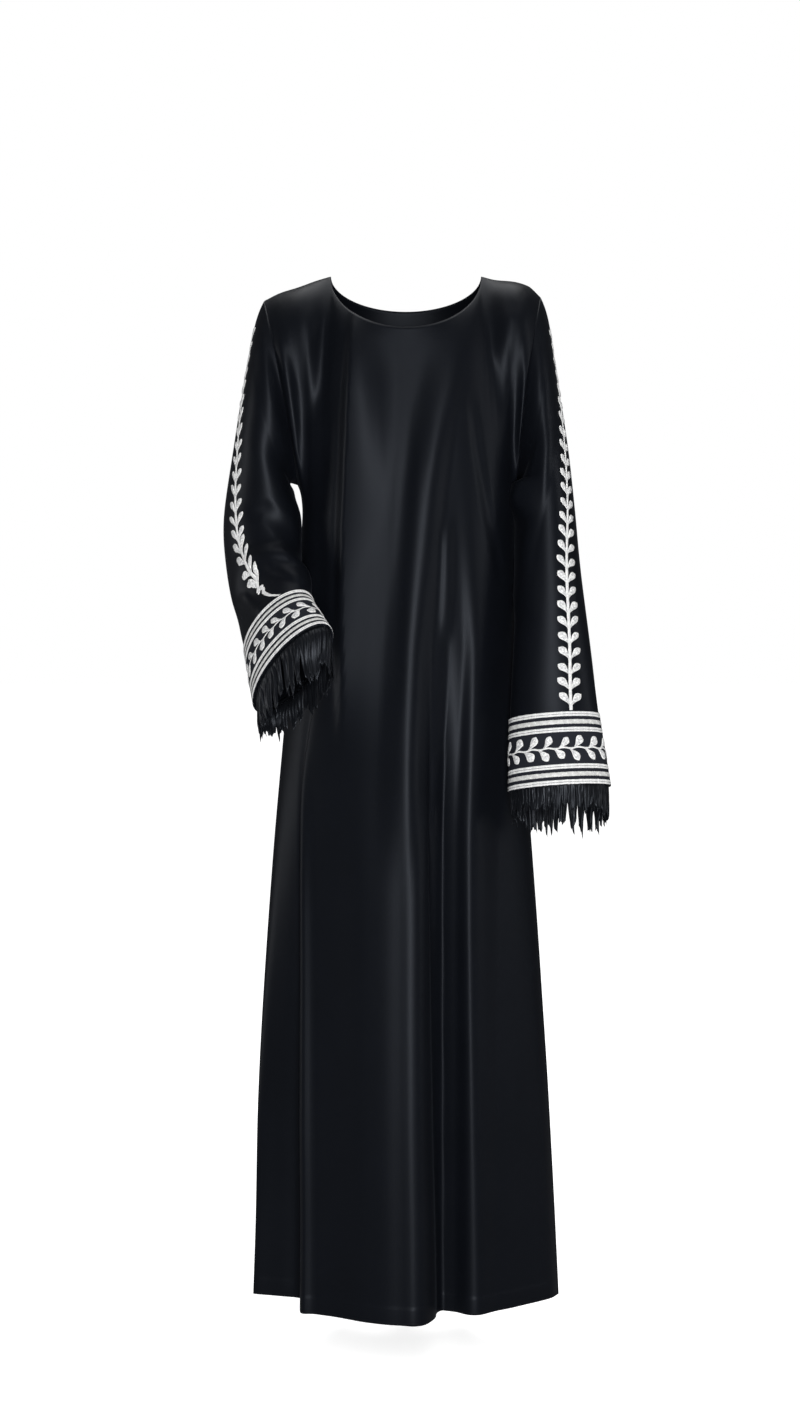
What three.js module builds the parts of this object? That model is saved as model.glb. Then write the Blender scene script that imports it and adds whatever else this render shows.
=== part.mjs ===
// Abaya, size 56, hanging as worn. Millimetres, +Z up, front faces -Y.
// The origin is the wearer's neck base, level with the two high shoulder points.
import * as THREE from 'three';

// ---------------------------------------------------------------- driving sizes
const LENGTH = 1420;          // high shoulder point to hem
const CLOTH = 1.5;            // wall of the garment cloth
const BAND_CLOTH = 1.2;       // wall of the embroidered cuff band
const SEAM_GAP = 0.3;         // between pieces at a seam
const NECK_HALF = 104;        // half width of the neck opening
const NECK_DROP_FRONT = 82;
const NECK_DROP_BACK = 40;
const NECK_FORWARD = 84;      // how far the neckline stands in front of the seam
const NECK_BACKWARD = 60;
const UNDERARM = -288;        // height of the underarm point
const STRIP_HEIGHT = 9;       // strip inside the mouth that carries the fringe
const STRIP_CLOTH = 1.0;
const STRIP_RISE = 1.5;       // its lower edge stands this far above the cuff edge
const LOCK_LENGTH = 46;       // fringe below the cuff edge
const LOCKS = 32;             // round one cuff
const NECK_S = 0.62;          // share of the panel width that is neckline at the top
const FOLDS_FROM = -348;      // the ring starts to take the hem's spacing here
const FOLDS_FULL = -780;      // and has it whole from here down
const SAG_FROM = -760;        // rows run level below this height
const EASE_WIDTH = 0.34;      // how far along the top edge its corner is eased
const SEAM_Y = 5;             // how far behind the origin the shoulder seam runs
const ROW_SAG = 60;           // how much lower a row runs at mid panel than at the underarm

// body rings: height, half width, sideways shift of the ring, depth in front, depth behind
const RINGS = [
  { z: -288, half: 150.0, shift: 0.0, front: 119, back: 98 },
  { z: -297, half: 149.0, shift: 2.5, front: 120, back: 98 },
  { z: -310, half: 148.2, shift: 4.2, front: 120, back: 98 },
  { z: -327, half: 147.5, shift: 4.5, front: 121, back: 99 },
  { z: -355, half: 147.9, shift: 3.4, front: 121, back: 100 },
  { z: -420, half: 151.5, shift: 1.0, front: 120, back: 103 },
  { z: -516, half: 156.5, shift: -2.0, front: 117, back: 112 },
  { z: -642, half: 167.0, shift: -3.5, front: 114, back: 124 },
  { z: -810, half: 181.0, shift: -4.5, front: 112, back: 130 },
  { z: -976, half: 193.0, shift: -4.5, front: 109, back: 129 },
  { z: -1142, half: 203.0, shift: -3.5, front: 107, back: 127 },
  { z: -1337, half: 210.5, shift: -0.5, front: 105, back: 125 },
  { z: -1420, half: 214.0, shift: 0.0, front: 105, back: 125 },
];
const BLACK = 0x17191d;
const CHARCOAL = 0x2a2b30;
const JET = 0x121316;
const ROUND = 0.9;            // squareness of a ring: 1 is an ellipse

// hem line: s runs across the panel, x and y are the hem itself, start is the
// height where that part of the fold sets in
const HEM_FRONT = [
  { s: -1.000, x: -214, y: 5, start: -420 },
  { s: -0.905, x: -208, y: 3, start: -440 },
  { s: -0.810, x: -192, y: -1, start: -470 },
  { s: -0.715, x: -172, y: -7, start: -500 },
  { s: -0.620, x: -152, y: -13, start: -520 },
  { s: -0.560, x: -141, y: -25, start: -520 },
  { s: -0.520, x: -139, y: -47, start: -520 },
  { s: -0.480, x: -145, y: -75, start: -510 },
  { s: -0.440, x: -142, y: -89, start: -500 },
  { s: -0.360, x: -121, y: -101, start: -460 },
  { s: -0.270, x: -90, y: -112, start: -420 },
  { s: -0.180, x: -54, y: -127, start: -360 },
  { s: -0.090, x: -20, y: -139, start: -320 },
  { s: -0.020, x: 4, y: -142, start: -310 },
  { s: 0.050, x: 20, y: -137, start: -320 },
  { s: 0.100, x: 32, y: -124, start: -340 },
  { s: 0.140, x: 40, y: -106, start: -360 },
  { s: 0.170, x: 41, y: -91, start: -370 },
  { s: 0.210, x: 46, y: -83, start: -370 },
  { s: 0.290, x: 61, y: -79, start: -360 },
  { s: 0.380, x: 80, y: -81, start: -350 },
  { s: 0.460, x: 98, y: -84, start: -350 },
  { s: 0.540, x: 118, y: -77, start: -370 },
  { s: 0.620, x: 139, y: -65, start: -390 },
  { s: 0.715, x: 163, y: -47, start: -410 },
  { s: 0.810, x: 184, y: -31, start: -420 },
  { s: 0.905, x: 203, y: -14, start: -420 },
  { s: 1.000, x: 214, y: 5, start: -420 },
];
const HEM_BACK = [
  { s: -1.000, x: -214, y: 5, start: -420 },
  { s: -0.905, x: -208, y: 32, start: -430 },
  { s: -0.810, x: -197, y: 62, start: -450 },
  { s: -0.715, x: -172, y: 82, start: -480 },
  { s: -0.620, x: -148, y: 66, start: -500 },
  { s: -0.560, x: -136, y: 60, start: -500 },
  { s: -0.495, x: -123, y: 88, start: -490 },
  { s: -0.430, x: -112, y: 124, start: -470 },
  { s: -0.350, x: -92, y: 138, start: -460 },
  { s: -0.275, x: -68, y: 122, start: -470 },
  { s: -0.215, x: -51, y: 98, start: -480 },
  { s: -0.150, x: -34, y: 106, start: -480 },
  { s: -0.090, x: -23, y: 134, start: -470 },
  { s: -0.020, x: -4, y: 148, start: -460 },
  { s: 0.055, x: 16, y: 134, start: -470 },
  { s: 0.120, x: 31, y: 105, start: -480 },
  { s: 0.185, x: 47, y: 110, start: -480 },
  { s: 0.250, x: 60, y: 136, start: -470 },
  { s: 0.330, x: 82, y: 142, start: -460 },
  { s: 0.410, x: 102, y: 118, start: -470 },
  { s: 0.475, x: 115, y: 86, start: -490 },
  { s: 0.545, x: 131, y: 80, start: -500 },
  { s: 0.620, x: 150, y: 93, start: -500 },
  { s: 0.715, x: 176, y: 84, start: -480 },
  { s: 0.810, x: 198, y: 60, start: -450 },
  { s: 0.905, x: 209, y: 32, start: -430 },
  { s: 1.000, x: 214, y: 5, start: -420 },
];
// the left edge of the deep front fold stands straight up from the hem, so the
// fold line leans outward against the ring width higher up
const EDGE_LEAN = [
  { z: -1420, lean: 0 }, { z: -1142, lean: -0.016 }, { z: -976, lean: -0.04 },
  { z: -810, lean: -0.085 }, { z: -700, lean: -0.115 }, { z: -600, lean: -0.07 },
  { z: -500, lean: -0.02 }, { z: -348, lean: 0 },
];

// shoulder seam from the neck point outward: right side and left side of the wearer
const SHOULDER_RIGHT = [
  { t: 0.0, x: -104, y: 5, z: 0 }, { t: 0.25, x: -124, y: 5, z: -6 },
  { t: 0.5, x: -149, y: 5, z: -15 }, { t: 0.75, x: -174, y: 4, z: -23 },
  { t: 1.0, x: -196, y: 3, z: -34 },
];
const SHOULDER_LEFT = [
  { t: 0.0, x: 104, y: 5, z: 0 }, { t: 0.25, x: 124, y: 5, z: -5 },
  { t: 0.5, x: 147, y: 5, z: -7 }, { t: 0.75, x: 168, y: 4, z: -13 },
  { t: 1.0, x: 186, y: 3, z: -29 },
];
// how the cloth arrives at the top edge of a panel, from mid panel to the armhole
const ARRIVE = [
  { s: 0.0, x: 0, y: 45, z: 250 }, { s: 0.3, x: 5, y: 150, z: 210 },
  { s: 0.62, x: 0, y: 255, z: 190 }, { s: 0.8, x: 0, y: 350, z: 60 },
  { s: 1.0, x: 36, y: 260, z: 110 },
];
const RISE = 290;             // how strongly a column keeps its way up as it leaves the body
const ARMHOLE_LEAVE = { x: 8, y: 255, z: 150 };
const SLEEVE_HEAD = 60;       // how far the sleeve swings outward as it leaves the shoulder tip

// soft folds that run over the front: path in x and z, height (minus is a
// trough) and half width
const FOLDS = [
  { height: 8, wide: 30,
    path: [[62, -96], [47, -193], [32, -266], [28, -331], [22, -400], [12, -516], [2, -701], [-12, -830]] },
  { height: 6, wide: 22, path: [[82, -230], [80, -300], [81, -378], [86, -516], [92, -701], [95, -900]] },
  { height: -5, wide: 18, path: [[50, -330], [44, -420], [47, -516], [58, -640], [60, -900], [60, -1180]] },
  { height: 6, wide: 30, path: [[-62, -160], [-66, -238], [-70, -331], [-72, -470], [-74, -560]] },
  { height: -5, wide: 22, path: [[-112, -150], [-114, -238], [-116, -331], [-112, -470], [-104, -560]] },
  { height: -4, wide: 20, path: [[-75, -640], [-76, -800], [-76, -1000], [-76, -1240]] },
  { height: -4, wide: 18, path: [[112, -110], [104, -170], [112, -260], [124, -340], [132, -430]] },
  { height: 6, wide: 15, path: [[-198, -62], [-191, -112], [-182, -160], [-172, -210], [-162, -262]] },
  { height: -5, wide: 14, path: [[-184, -78], [-170, -140], [-160, -200], [-151, -262]] },
  { height: 6, wide: 15, path: [[190, -80], [182, -130], [175, -190], [163, -262]] },
  { height: -5, wide: 14, path: [[178, -56], [165, -102], [156, -150], [150, -205], [146, -262]] },
];

// rings of the sleeves: centre, way the sleeve runs, way to the front of the
// ring, radius that way, radius to the outside, turn of the centre line of the
// sleeve (degrees from the front towards the outside)
const SLEEVE_RIGHT = [
  { c: [-189, -4, -203.5], n: [-0.943, 0, -0.33], l: [0, -1, 0], front: 72, out: 87.2, turn: 82 },
  { c: [-194.5, -4, -256.5], n: [-0.74, 0, -0.672], l: [0, -1, 0], front: 72, out: 58.8, turn: 58 },
  { c: [-199, -8, -330], n: [-0.02, 0, -1], l: [0.45, -0.89, 0], front: 68, out: 49, turn: 66 },
  { c: [-197, -22, -384], n: [0.05, -0.30, -0.95], l: [0.58, -0.76, 0.28], front: 66, out: 45, turn: 68 },
  { c: [-190, -52, -424], n: [0.15, -0.62, -0.77], l: [0.55, -0.64, 0.54], front: 65, out: 42, turn: 48 },
  { c: [-178, -77, -452], n: [0.22, -0.79, -0.57], l: [0.62, -0.35, 0.70], front: 66, out: 34, turn: 40 },
  { c: [-171, -111, -486], n: [0.234, -0.805, -0.545], l: [0.62, -0.338, 0.765],
    front: 63, out: 34, turn: 40 },
  { c: [-148, -195, -542], n: [0.234, -0.805, -0.545], l: [0.62, -0.338, 0.765],
    front: 76, out: 32, turn: 40 },
];
const SLEEVE_LEFT = [
  { c: [182, -6, -202], n: [0.96, 0, -0.27], l: [0, -1, 0], front: 72, out: 84, turn: 82 },
  { c: [188.5, -13, -253], n: [0.785, -0.05, -0.62], l: [0, -1, 0], front: 72, out: 50, turn: 60 },
  { c: [192.5, -24, -325], n: [0.06, -0.17, -0.985], l: [0, -1, 0], front: 68, out: 39, turn: 42 },
  { c: [195, -50, -420], n: [0.02, -0.22, -0.975], l: [0, -1, 0], front: 58, out: 44, turn: 28 },
  { c: [197.5, -75, -516], n: [0.04, -0.20, -0.98], l: [0, -1, 0], front: 46, out: 52, turn: 24 },
  { c: [200, -90, -607], n: [0.06, -0.20, -0.978], l: [0, -1, 0], front: 40, out: 59.5, turn: 20 },
  { c: [206, -109, -704], n: [0.06, -0.20, -0.978], l: [0, -1, 0], front: 40, out: 67.5, turn: 20 },
];

// rows of the panels: heights on the side seam, then shares of the armhole
const SIDE_ROWS = [
  -1420, -1408, -1330, -1240, -1140, -1040, -940, -850, -770, -700,
  -640, -580, -520, -460, -400, -352, -322, -302, -288,
];
const ARM_ROWS = 12;
// stations along each sleeve, in ring numbers (0 is the armhole)
const STATIONS_RIGHT = [
  0, 0.35, 0.7, 1, 1.4, 1.8, 2.3, 2.8, 3.3, 3.8,
  4.3, 4.8, 5.3, 5.9, 6.45, 7, 7.25, 7.5, 7.75, 8,
];
const STATIONS_LEFT = [
  0, 0.35, 0.7, 1, 1.4, 1.8, 2.3, 2.8, 3.3, 3.8,
  4.3, 4.7, 5.1, 5.55, 6, 6.25, 6.5, 6.75, 7,
];
const BAND_ROWS = 4;          // the band covers the last rows of the sleeve

// each panel is made in four lengths and each sleeve in five, so that a simple
// hull round any one of them stays close to the cloth: the last row of each
const PANEL_JOINS = { hem: 6, skirt: 12, waist: 15, chest: 30 };
const SLEEVE_JOINS = { head: 4, arm: 9, elbow: 12, forearm: 15, wrist: 19 };

// ------------------------------------------------------------- small arithmetic
const V = (x, y, z) => new THREE.Vector3(x, y, z);
const clamp = (v, a, b) => Math.min(b, Math.max(a, v));
const smooth = (a, b, v) => {
  const t = clamp((v - a) / (b - a), 0, 1);
  return t * t * (3 - 2 * t);
};

// monotone cubic through the rows of a table
function read(table, key, at, col) {
  const rising = table[table.length - 1][key] > table[0][key];
  const rows = rising ? table : [...table].reverse();
  const x = rows.map((r) => r[key]);
  const y = rows.map((r) => r[col]);
  const n = x.length;
  const v = clamp(at, x[0], x[n - 1]);
  let i = 0;
  while (i < n - 2 && v > x[i + 1]) i++;
  const d = (k) => (y[k + 1] - y[k]) / (x[k + 1] - x[k]);
  const slope = (k) => {
    if (k === 0) return d(0);
    if (k === n - 1) return d(n - 2);
    const a = d(k - 1);
    const b = d(k);
    if (a * b <= 0) return 0;
    const before = x[k] - x[k - 1];
    const after = x[k + 1] - x[k];
    const w1 = 2 * after + before;
    const w2 = after + 2 * before;
    return (w1 + w2) / (w1 / a + w2 / b);
  };
  const h = x[i + 1] - x[i];
  const t = (v - x[i]) / h;
  const m0 = slope(i) * h;
  const m1 = slope(i + 1) * h;
  return y[i] * (2 * t ** 3 - 3 * t ** 2 + 1) + m0 * (t ** 3 - 2 * t ** 2 + t)
    + y[i + 1] * (-2 * t ** 3 + 3 * t ** 2) + m1 * (t ** 3 - t ** 2);
}

// height of all the soft folds over a point of the front
function foldHeight(x, z) {
  let sum = 0;
  for (const fold of FOLDS) {
    let best = Infinity;
    let along = 0;
    let run = 0;
    for (let i = 0; i < fold.path.length - 1; i++) {
      const [ax, az] = fold.path[i];
      const [bx, bz] = fold.path[i + 1];
      const len = Math.hypot(bx - ax, bz - az);
      const t = clamp(((x - ax) * (bx - ax) + (z - az) * (bz - az)) / len / len, 0, 1);
      const dist = Math.hypot(x - ax - t * (bx - ax), z - az - t * (bz - az));
      if (dist < best) {
        best = dist;
        along = run + t * len;
      }
      run += len;
    }
    const across = Math.max(0, 1 - (best / fold.wide) ** 2) ** 2;
    const ends = smooth(0, 0.25, along / run) * smooth(0, 0.25, 1 - along / run);
    sum += fold.height * across * ends;
  }
  return sum;
}

// --------------------------------------------------------------- body surfaces
function bodyPoint(side, s, z) {              // side -1 is the front, +1 the back
  const hem = side < 0 ? HEM_FRONT : HEM_BACK;
  const column = side < 0 ? 'front' : 'back';
  const half = read(RINGS, 'z', z, 'half');
  const depth = read(RINGS, 'z', z, column);
  const lowest = RINGS[RINGS.length - 1];
  const hemX = read(hem, 's', s, 'x') / lowest.half;
  const hemY = read(hem, 's', s, 'y');
  const start = read(hem, 's', s, 'start');
  const drop = clamp((start - z) / (start + LENGTH), 0, 1);
  const grow = Math.sin(drop * Math.PI / 2) ** 1.5;
  const turnHem = Math.asin(clamp(hemX, -1, 1)) * 2 / Math.PI;
  const blend = smooth(FOLDS_FROM, FOLDS_FULL, z);
  let turn = s + (turnHem - s) * blend;
  if (side < 0) turn += read(EDGE_LEAN, 'z', z, 'lean') * Math.max(0, 1 - ((s + 0.5) / 0.42) ** 2) ** 2;
  const q = Math.sin(turn * Math.PI / 2);
  const ring = side * depth * Math.max(0, 1 - q * q) ** (ROUND / 2);
  const ringHem = side * lowest[column] * Math.max(0, 1 - hemX * hemX) ** (ROUND / 2);
  return V(read(RINGS, 'z', z, 'shift') + half * q, ring + grow * (hemY - ringHem), z);
}

function topEdge(side, s) {
  const a = Math.abs(s);
  if (a <= NECK_S + 1e-9) {
    const n = s / NECK_S * Math.PI / 2;
    const c = Math.cos(n);
    const reach = side < 0 ? NECK_FORWARD + SEAM_Y : NECK_BACKWARD - SEAM_Y;
    const drop = side < 0 ? NECK_DROP_FRONT : NECK_DROP_BACK;
    return V(NECK_HALF * Math.sin(n), SEAM_Y + side * reach * c, -drop * c);
  }
  const table = s < 0 ? SHOULDER_RIGHT : SHOULDER_LEFT;
  const t = (a - NECK_S) / (1 - NECK_S);
  return V(read(table, 't', t, 'x'), read(table, 't', t, 'y'), read(table, 't', t, 'z'));
}

// the corner where the neckline meets the shoulder seam eases out lower down the panel
const EASE = [[-1, 1], [-0.75, 3], [-0.5, 6], [-0.25, 9], [0, 10], [0.25, 9], [0.5, 6], [0.75, 3], [1, 1]];
function easedTop(side, s, row) {
  const w = Math.min(EASE_WIDTH * Math.sqrt(1 - row), 1 - Math.abs(s));
  const sum = V(0, 0, 0);
  for (const [k, share] of EASE) sum.addScaledVector(topEdge(side, s + k * w), share / 48);
  return sum;
}

const rowHeight = (s, zSide) => {             // rows sag at mid panel, less towards the hem
  const sag = ROW_SAG * smooth(SAG_FROM, UNDERARM, zSide);
  return zSide - sag * (1 - Math.abs(s) ** 4);
};

function panelPoint(side, s, row) {           // row < 0: side seam rows, 0..1 armhole share
  if (row < 0) return bodyPoint(side, s, rowHeight(s, row));
  const z0 = rowHeight(s, UNDERARM);
  const p0 = bodyPoint(side, s, z0);
  const below = bodyPoint(side, s, z0 - 4);
  const p1 = easedTop(side, s, row);
  const up = p0.clone().sub(below).normalize().multiplyScalar(RISE);
  const a = Math.abs(s);
  const sx = Math.sign(s);
  up.lerp(V(sx * ARMHOLE_LEAVE.x, side * ARMHOLE_LEAVE.y, ARMHOLE_LEAVE.z), smooth(0.76, 1, a));
  const arriveY = read(ARRIVE, 's', a, 'y');
  const arrive = V(sx * read(ARRIVE, 's', a, 'x'), -side * arriveY, read(ARRIVE, 's', a, 'z'));
  const t = row;
  const t2 = t * t;
  const t3 = t2 * t;
  return p0.multiplyScalar(2 * t3 - 3 * t2 + 1).addScaledVector(up, t3 - 2 * t2 + t)
    .addScaledVector(p1, -2 * t3 + 3 * t2).addScaledVector(arrive, t3 - t2);
}

// --------------------------------------------------------------- sleeve surface
function ringPoint(side, ring, angle) {       // side -1 is the wearer's right
  const n = V(...ring.n).normalize();
  const l = V(...ring.l);
  l.addScaledVector(n, -l.dot(n)).normalize();
  const b = V(0, 0, 0).crossVectors(n, l).multiplyScalar(-side);
  const beta = ring.turn * Math.PI / 180 - angle;
  return V(...ring.c)
    .addScaledVector(l, ring.front * Math.cos(beta))
    .addScaledVector(b, ring.out * Math.sin(beta));
}

function armholePoint(side, angle) {          // 0 shoulder tip, half a turn underarm, front first
  const a = ((angle % (2 * Math.PI)) + 2 * Math.PI) % (2 * Math.PI);
  const front = a <= Math.PI + 1e-9;
  const share = front ? 1 - a / Math.PI : a / Math.PI - 1;
  return panelPoint(front ? -1 : 1, side, share);
}

function sleevePoint(side, rings, angle, t) {
  const at = (i) => (i === 0 ? armholePoint(side, angle) : ringPoint(side, rings[i - 1], angle));
  const last = rings.length;
  const i = Math.min(Math.floor(t), last - 1);
  const f = t - i;
  const p1 = at(i);
  const p2 = at(i + 1);
  const p0 = i > 0 ? at(i - 1) : p1.clone().multiplyScalar(2).sub(p2);
  if (i === 0) p0.x -= side * SLEEVE_HEAD * Math.max(0, Math.cos(angle)) ** 2;
  const p3 = i + 2 <= last ? at(i + 2) : p2.clone().multiplyScalar(2).sub(p1);
  // knots spaced by the square root of the distance keep the curve from overshooting
  const knot = (a, b) => Math.max(1e-3, Math.sqrt(a.distanceTo(b)));
  const way = (from, to, over) => to.clone().sub(from).divideScalar(over);
  const d1 = knot(p0, p1);
  const d2 = knot(p1, p2);
  const d3 = knot(p2, p3);
  const middle = way(p1, p2, d2);
  const m1 = middle.clone().sub(way(p0, p2, d1 + d2)).add(way(p0, p1, d1)).multiplyScalar(d2);
  const m2 = middle.clone().sub(way(p1, p3, d2 + d3)).add(way(p2, p3, d3)).multiplyScalar(d2);
  const f2 = f * f;
  const f3 = f2 * f;
  return p1.multiplyScalar(2 * f3 - 3 * f2 + 1).addScaledVector(m1, f3 - 2 * f2 + f)
    .addScaledVector(p2, -2 * f3 + 3 * f2).addScaledVector(m2, f3 - f2);
}

// ----------------------------------------------------------------- grid helpers
function gridNormals(grid, closed, flip) {
  const nu = grid.length;
  const nv = grid[0].length;
  return grid.map((col, i) => col.map((p, j) => {
    const before = closed ? (i + nu - 1) % nu : Math.max(0, i - 1);
    const after = closed ? (i + 1) % nu : Math.min(nu - 1, i + 1);
    const across = grid[after][j].clone().sub(grid[before][j]);
    const along = grid[i][Math.min(nv - 1, j + 1)].clone().sub(grid[i][Math.max(0, j - 1)]);
    const n = across.cross(along);
    return n.normalize().multiplyScalar(flip ? -1 : 1);
  }));
}

function raiseFolds(grid, normals) {
  grid.forEach((col, i) => col.forEach((p, j) => {
    const facing = clamp(-normals[i][j].y * 1.4, 0, 1);
    if (facing > 0 && p.y < 0) p.addScaledVector(normals[i][j], facing * foldHeight(p.x, p.z));
  }));
}

// closed solid between a grid moved out and the same grid moved in
function sheetSolid(name, color, grid, normals, out, inn, closed) {
  const nu = grid.length;
  const nv = grid[0].length;
  const pos = [];
  const idx = [];
  for (const d of [out, inn]) {
    grid.forEach((col, i) => col.forEach((p, j) => {
      const n = normals[i][j];
      pos.push(p.x + n.x * d, p.y + n.y * d, p.z + n.z * d);
    }));
  }
  const id = (side, i, j) => side * nu * nv + (i % nu) * nv + j;
  const quad = (a, b, c, d) => idx.push(a, b, c, a, c, d);
  const iu = closed ? nu : nu - 1;
  for (let i = 0; i < iu; i++) for (let j = 0; j < nv - 1; j++) {
    quad(id(0, i, j), id(0, i + 1, j), id(0, i + 1, j + 1), id(0, i, j + 1));
    quad(id(1, i, j), id(1, i, j + 1), id(1, i + 1, j + 1), id(1, i + 1, j));
  }
  for (let i = 0; i < iu; i++) {
    quad(id(0, i, 0), id(1, i, 0), id(1, i + 1, 0), id(0, i + 1, 0));
    quad(id(0, i, nv - 1), id(0, i + 1, nv - 1), id(1, i + 1, nv - 1), id(1, i, nv - 1));
  }
  if (!closed) for (let j = 0; j < nv - 1; j++) {
    quad(id(0, 0, j), id(0, 0, j + 1), id(1, 0, j + 1), id(1, 0, j));
    quad(id(0, nu - 1, j), id(1, nu - 1, j), id(1, nu - 1, j + 1), id(0, nu - 1, j + 1));
  }
  return finish(name, color, pos, idx);
}

function finish(name, color, pos, idx) {
  let volume = 0;
  const p = (k) => V(pos[3 * k], pos[3 * k + 1], pos[3 * k + 2]);
  for (let k = 0; k < idx.length; k += 3) volume += p(idx[k]).dot(p(idx[k + 1]).cross(p(idx[k + 2])));
  if (volume < 0) idx.reverse();
  const g = new THREE.BufferGeometry();
  g.setAttribute('position', new THREE.Float32BufferAttribute(pos, 3));
  g.setIndex(idx);
  g.computeVertexNormals();
  const mesh = new THREE.Mesh(g, new THREE.MeshStandardMaterial({ color, roughness: 0.55, metalness: 0 }));
  mesh.name = name;
  return mesh;
}

// ----------------------------------------------------------------------- pieces
const rows = [...SIDE_ROWS];
for (let k = 1; k <= ARM_ROWS; k++) rows.push(k / ARM_ROWS);
const seamRow = SIDE_ROWS.length - 1;
const topRow = rows.length - 1;
const angles = Array.from({ length: 2 * ARM_ROWS }, (_, k) => Math.PI * k / ARM_ROWS);
const panelGrid = (side, hem) => hem.map((h) => rows.map((row) => panelPoint(side, h.s, row)));
const sleeveGrid = (side, rings, stations) => angles.map(
  (a) => stations.map((t) => sleevePoint(side, rings, a, t)),
);

const front = panelGrid(-1, HEM_FRONT);
const back = panelGrid(1, HEM_BACK);
const right = sleeveGrid(-1, SLEEVE_RIGHT, STATIONS_RIGHT);
const left = sleeveGrid(1, SLEEVE_LEFT, STATIONS_LEFT);
const grids = { front, back, right, left };
const flips = { front: false, back: true, right: true, left: false };
const closedGrid = { front: false, back: false, right: true, left: true };
const normals = {};
const remake = () => {
  for (const k in grids) normals[k] = gridNormals(grids[k], closedGrid[k], flips[k]);
};

// every seam point is one point of two or three grids
const seams = [];
const f = (i, j) => ['front', i, j];
const b = (i, j) => ['back', i, j];
const fl = HEM_FRONT.length - 1;
const bl = HEM_BACK.length - 1;
const neckCols = 4;           // columns of a panel that end in the shoulder seam, on each side
for (let j = 0; j < seamRow; j++) seams.push([f(0, j), b(0, j)], [f(fl, j), b(bl, j)]);
for (let i = 1; i <= neckCols; i++) {
  seams.push([f(i, topRow), b(i, topRow)], [f(fl - i, topRow), b(bl - i, topRow)]);
}
for (const [name, ci, cb] of [['right', 0, 0], ['left', fl, bl]]) {
  for (let k = 0; k <= ARM_ROWS; k++) {
    const j = topRow - k;
    const other = (2 * ARM_ROWS - k) % (2 * ARM_ROWS);
    if (k === 0 || k === ARM_ROWS) seams.push([f(ci, j), b(cb, j), [name, k, 0]]);
    else seams.push([f(ci, j), [name, k, 0]], [b(cb, j), [name, other, 0]]);
  }
}
const point = ([g, i, j]) => grids[g][i][j];
const normalAt = ([g, i, j]) => normals[g][i][j];
function weldSeams() {
  for (const set of seams) {
    const p = V(0, 0, 0);
    const n = V(0, 0, 0);
    for (const k of set) {
      p.add(point(k));
      n.add(normalAt(k));
    }
    p.divideScalar(set.length);
    n.normalize();
    for (const k of set) {
      point(k).copy(p);
      normalAt(k).copy(n);
    }
  }
}
remake();
weldSeams();
for (const k in grids) raiseFolds(grids[k], normals[k]);
remake();
weldSeams();

// pull each piece back from its seams by half the gap, square to the seam
const moves = [];
const pull = (g, at, inside, before, after, share = 1) => {
  const p = grids[g][at[0]][at[1]];
  const n = normals[g][at[0]][at[1]];
  const along = grids[g][after[0]][after[1]].clone().sub(grids[g][before[0]][before[1]]);
  along.addScaledVector(n, -along.dot(n)).normalize();
  const t = grids[g][inside[0]][inside[1]].clone().sub(p);
  t.addScaledVector(n, -t.dot(n)).addScaledVector(along, -t.dot(along)).normalize();
  moves.push([p, t.multiplyScalar(share)]);
};
// the armhole turns sharply at the underarm, so it is pulled back further there
const TIGHT = 2.3;
for (const [g, last] of [['front', fl], ['back', bl]]) {
  for (let j = 0; j <= topRow; j++) {
    // the underarm point ends the side seam and begins the armhole
    const lo = Math.max(0, j - 1);
    const hi = Math.min(topRow, j + 1);
    const share = j >= seamRow && j <= seamRow + 2 ? TIGHT : 1;
    pull(g, [0, j], [1, j], [0, lo], [0, hi], share);
    pull(g, [last, j], [last - 1, j], [last, lo], [last, hi], share);
  }
  for (let i = 0; i <= neckCols; i++) {
    const lo = Math.max(0, i - 1);
    const hi = Math.min(neckCols, i + 1);
    pull(g, [i, topRow], [i, topRow - 1], [lo, topRow], [hi, topRow]);
    pull(g, [last - i, topRow], [last - i, topRow - 1], [last - lo, topRow], [last - hi, topRow]);
  }
}
for (const g of ['right', 'left']) {
  const m = angles.length;
  for (let i = 0; i < m; i++) {
    pull(g, [i, 0], [i, 1], [(i + m - 1) % m, 0], [(i + 1) % m, 0], Math.abs(i - m / 2) <= 2 ? TIGHT : 1);
  }
}
for (const [p, t] of moves) p.addScaledVector(t, SEAM_GAP / 2);

// cut a grid at the rows of its joins, part the lengths by the seam gap, close each
function inLengths(name, joins, grid, norm, closed) {
  const lastRow = grid[0].length - 1;
  let from = 0;
  return Object.entries(joins).map(([label, join]) => {
    const to = Math.min(join, lastRow);
    const cut = grid.map((col) => col.slice(from, to + 1).map((p) => p.clone()));
    const cutNormals = norm.map((col) => col.slice(from, to + 1));
    for (const col of cut) {
      const end = col.length - 1;
      const first = col[1].clone().sub(col[0]).setLength(SEAM_GAP / 2);
      const final = col[end - 1].clone().sub(col[end]).setLength(SEAM_GAP / 2);
      if (from > 0) col[0].add(first);
      if (to < lastRow) col[end].add(final);
    }
    from = to;
    return sheetSolid(`${name}_${label}`, BLACK, cut, cutNormals, CLOTH / 2, -CLOTH / 2, closed);
  });
}

// cuff band: the last rows of the sleeve moved out
function cuffBand(name, grid, norm) {
  const from = grid[0].length - 1 - BAND_ROWS;
  const g = grid.map((c) => c.slice(from));
  const n = norm.map((c) => c.slice(from));
  const inner = CLOTH / 2 + SEAM_GAP;
  return sheetSolid(name, CHARCOAL, g, n, inner + BAND_CLOTH, inner, true);
}

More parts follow.
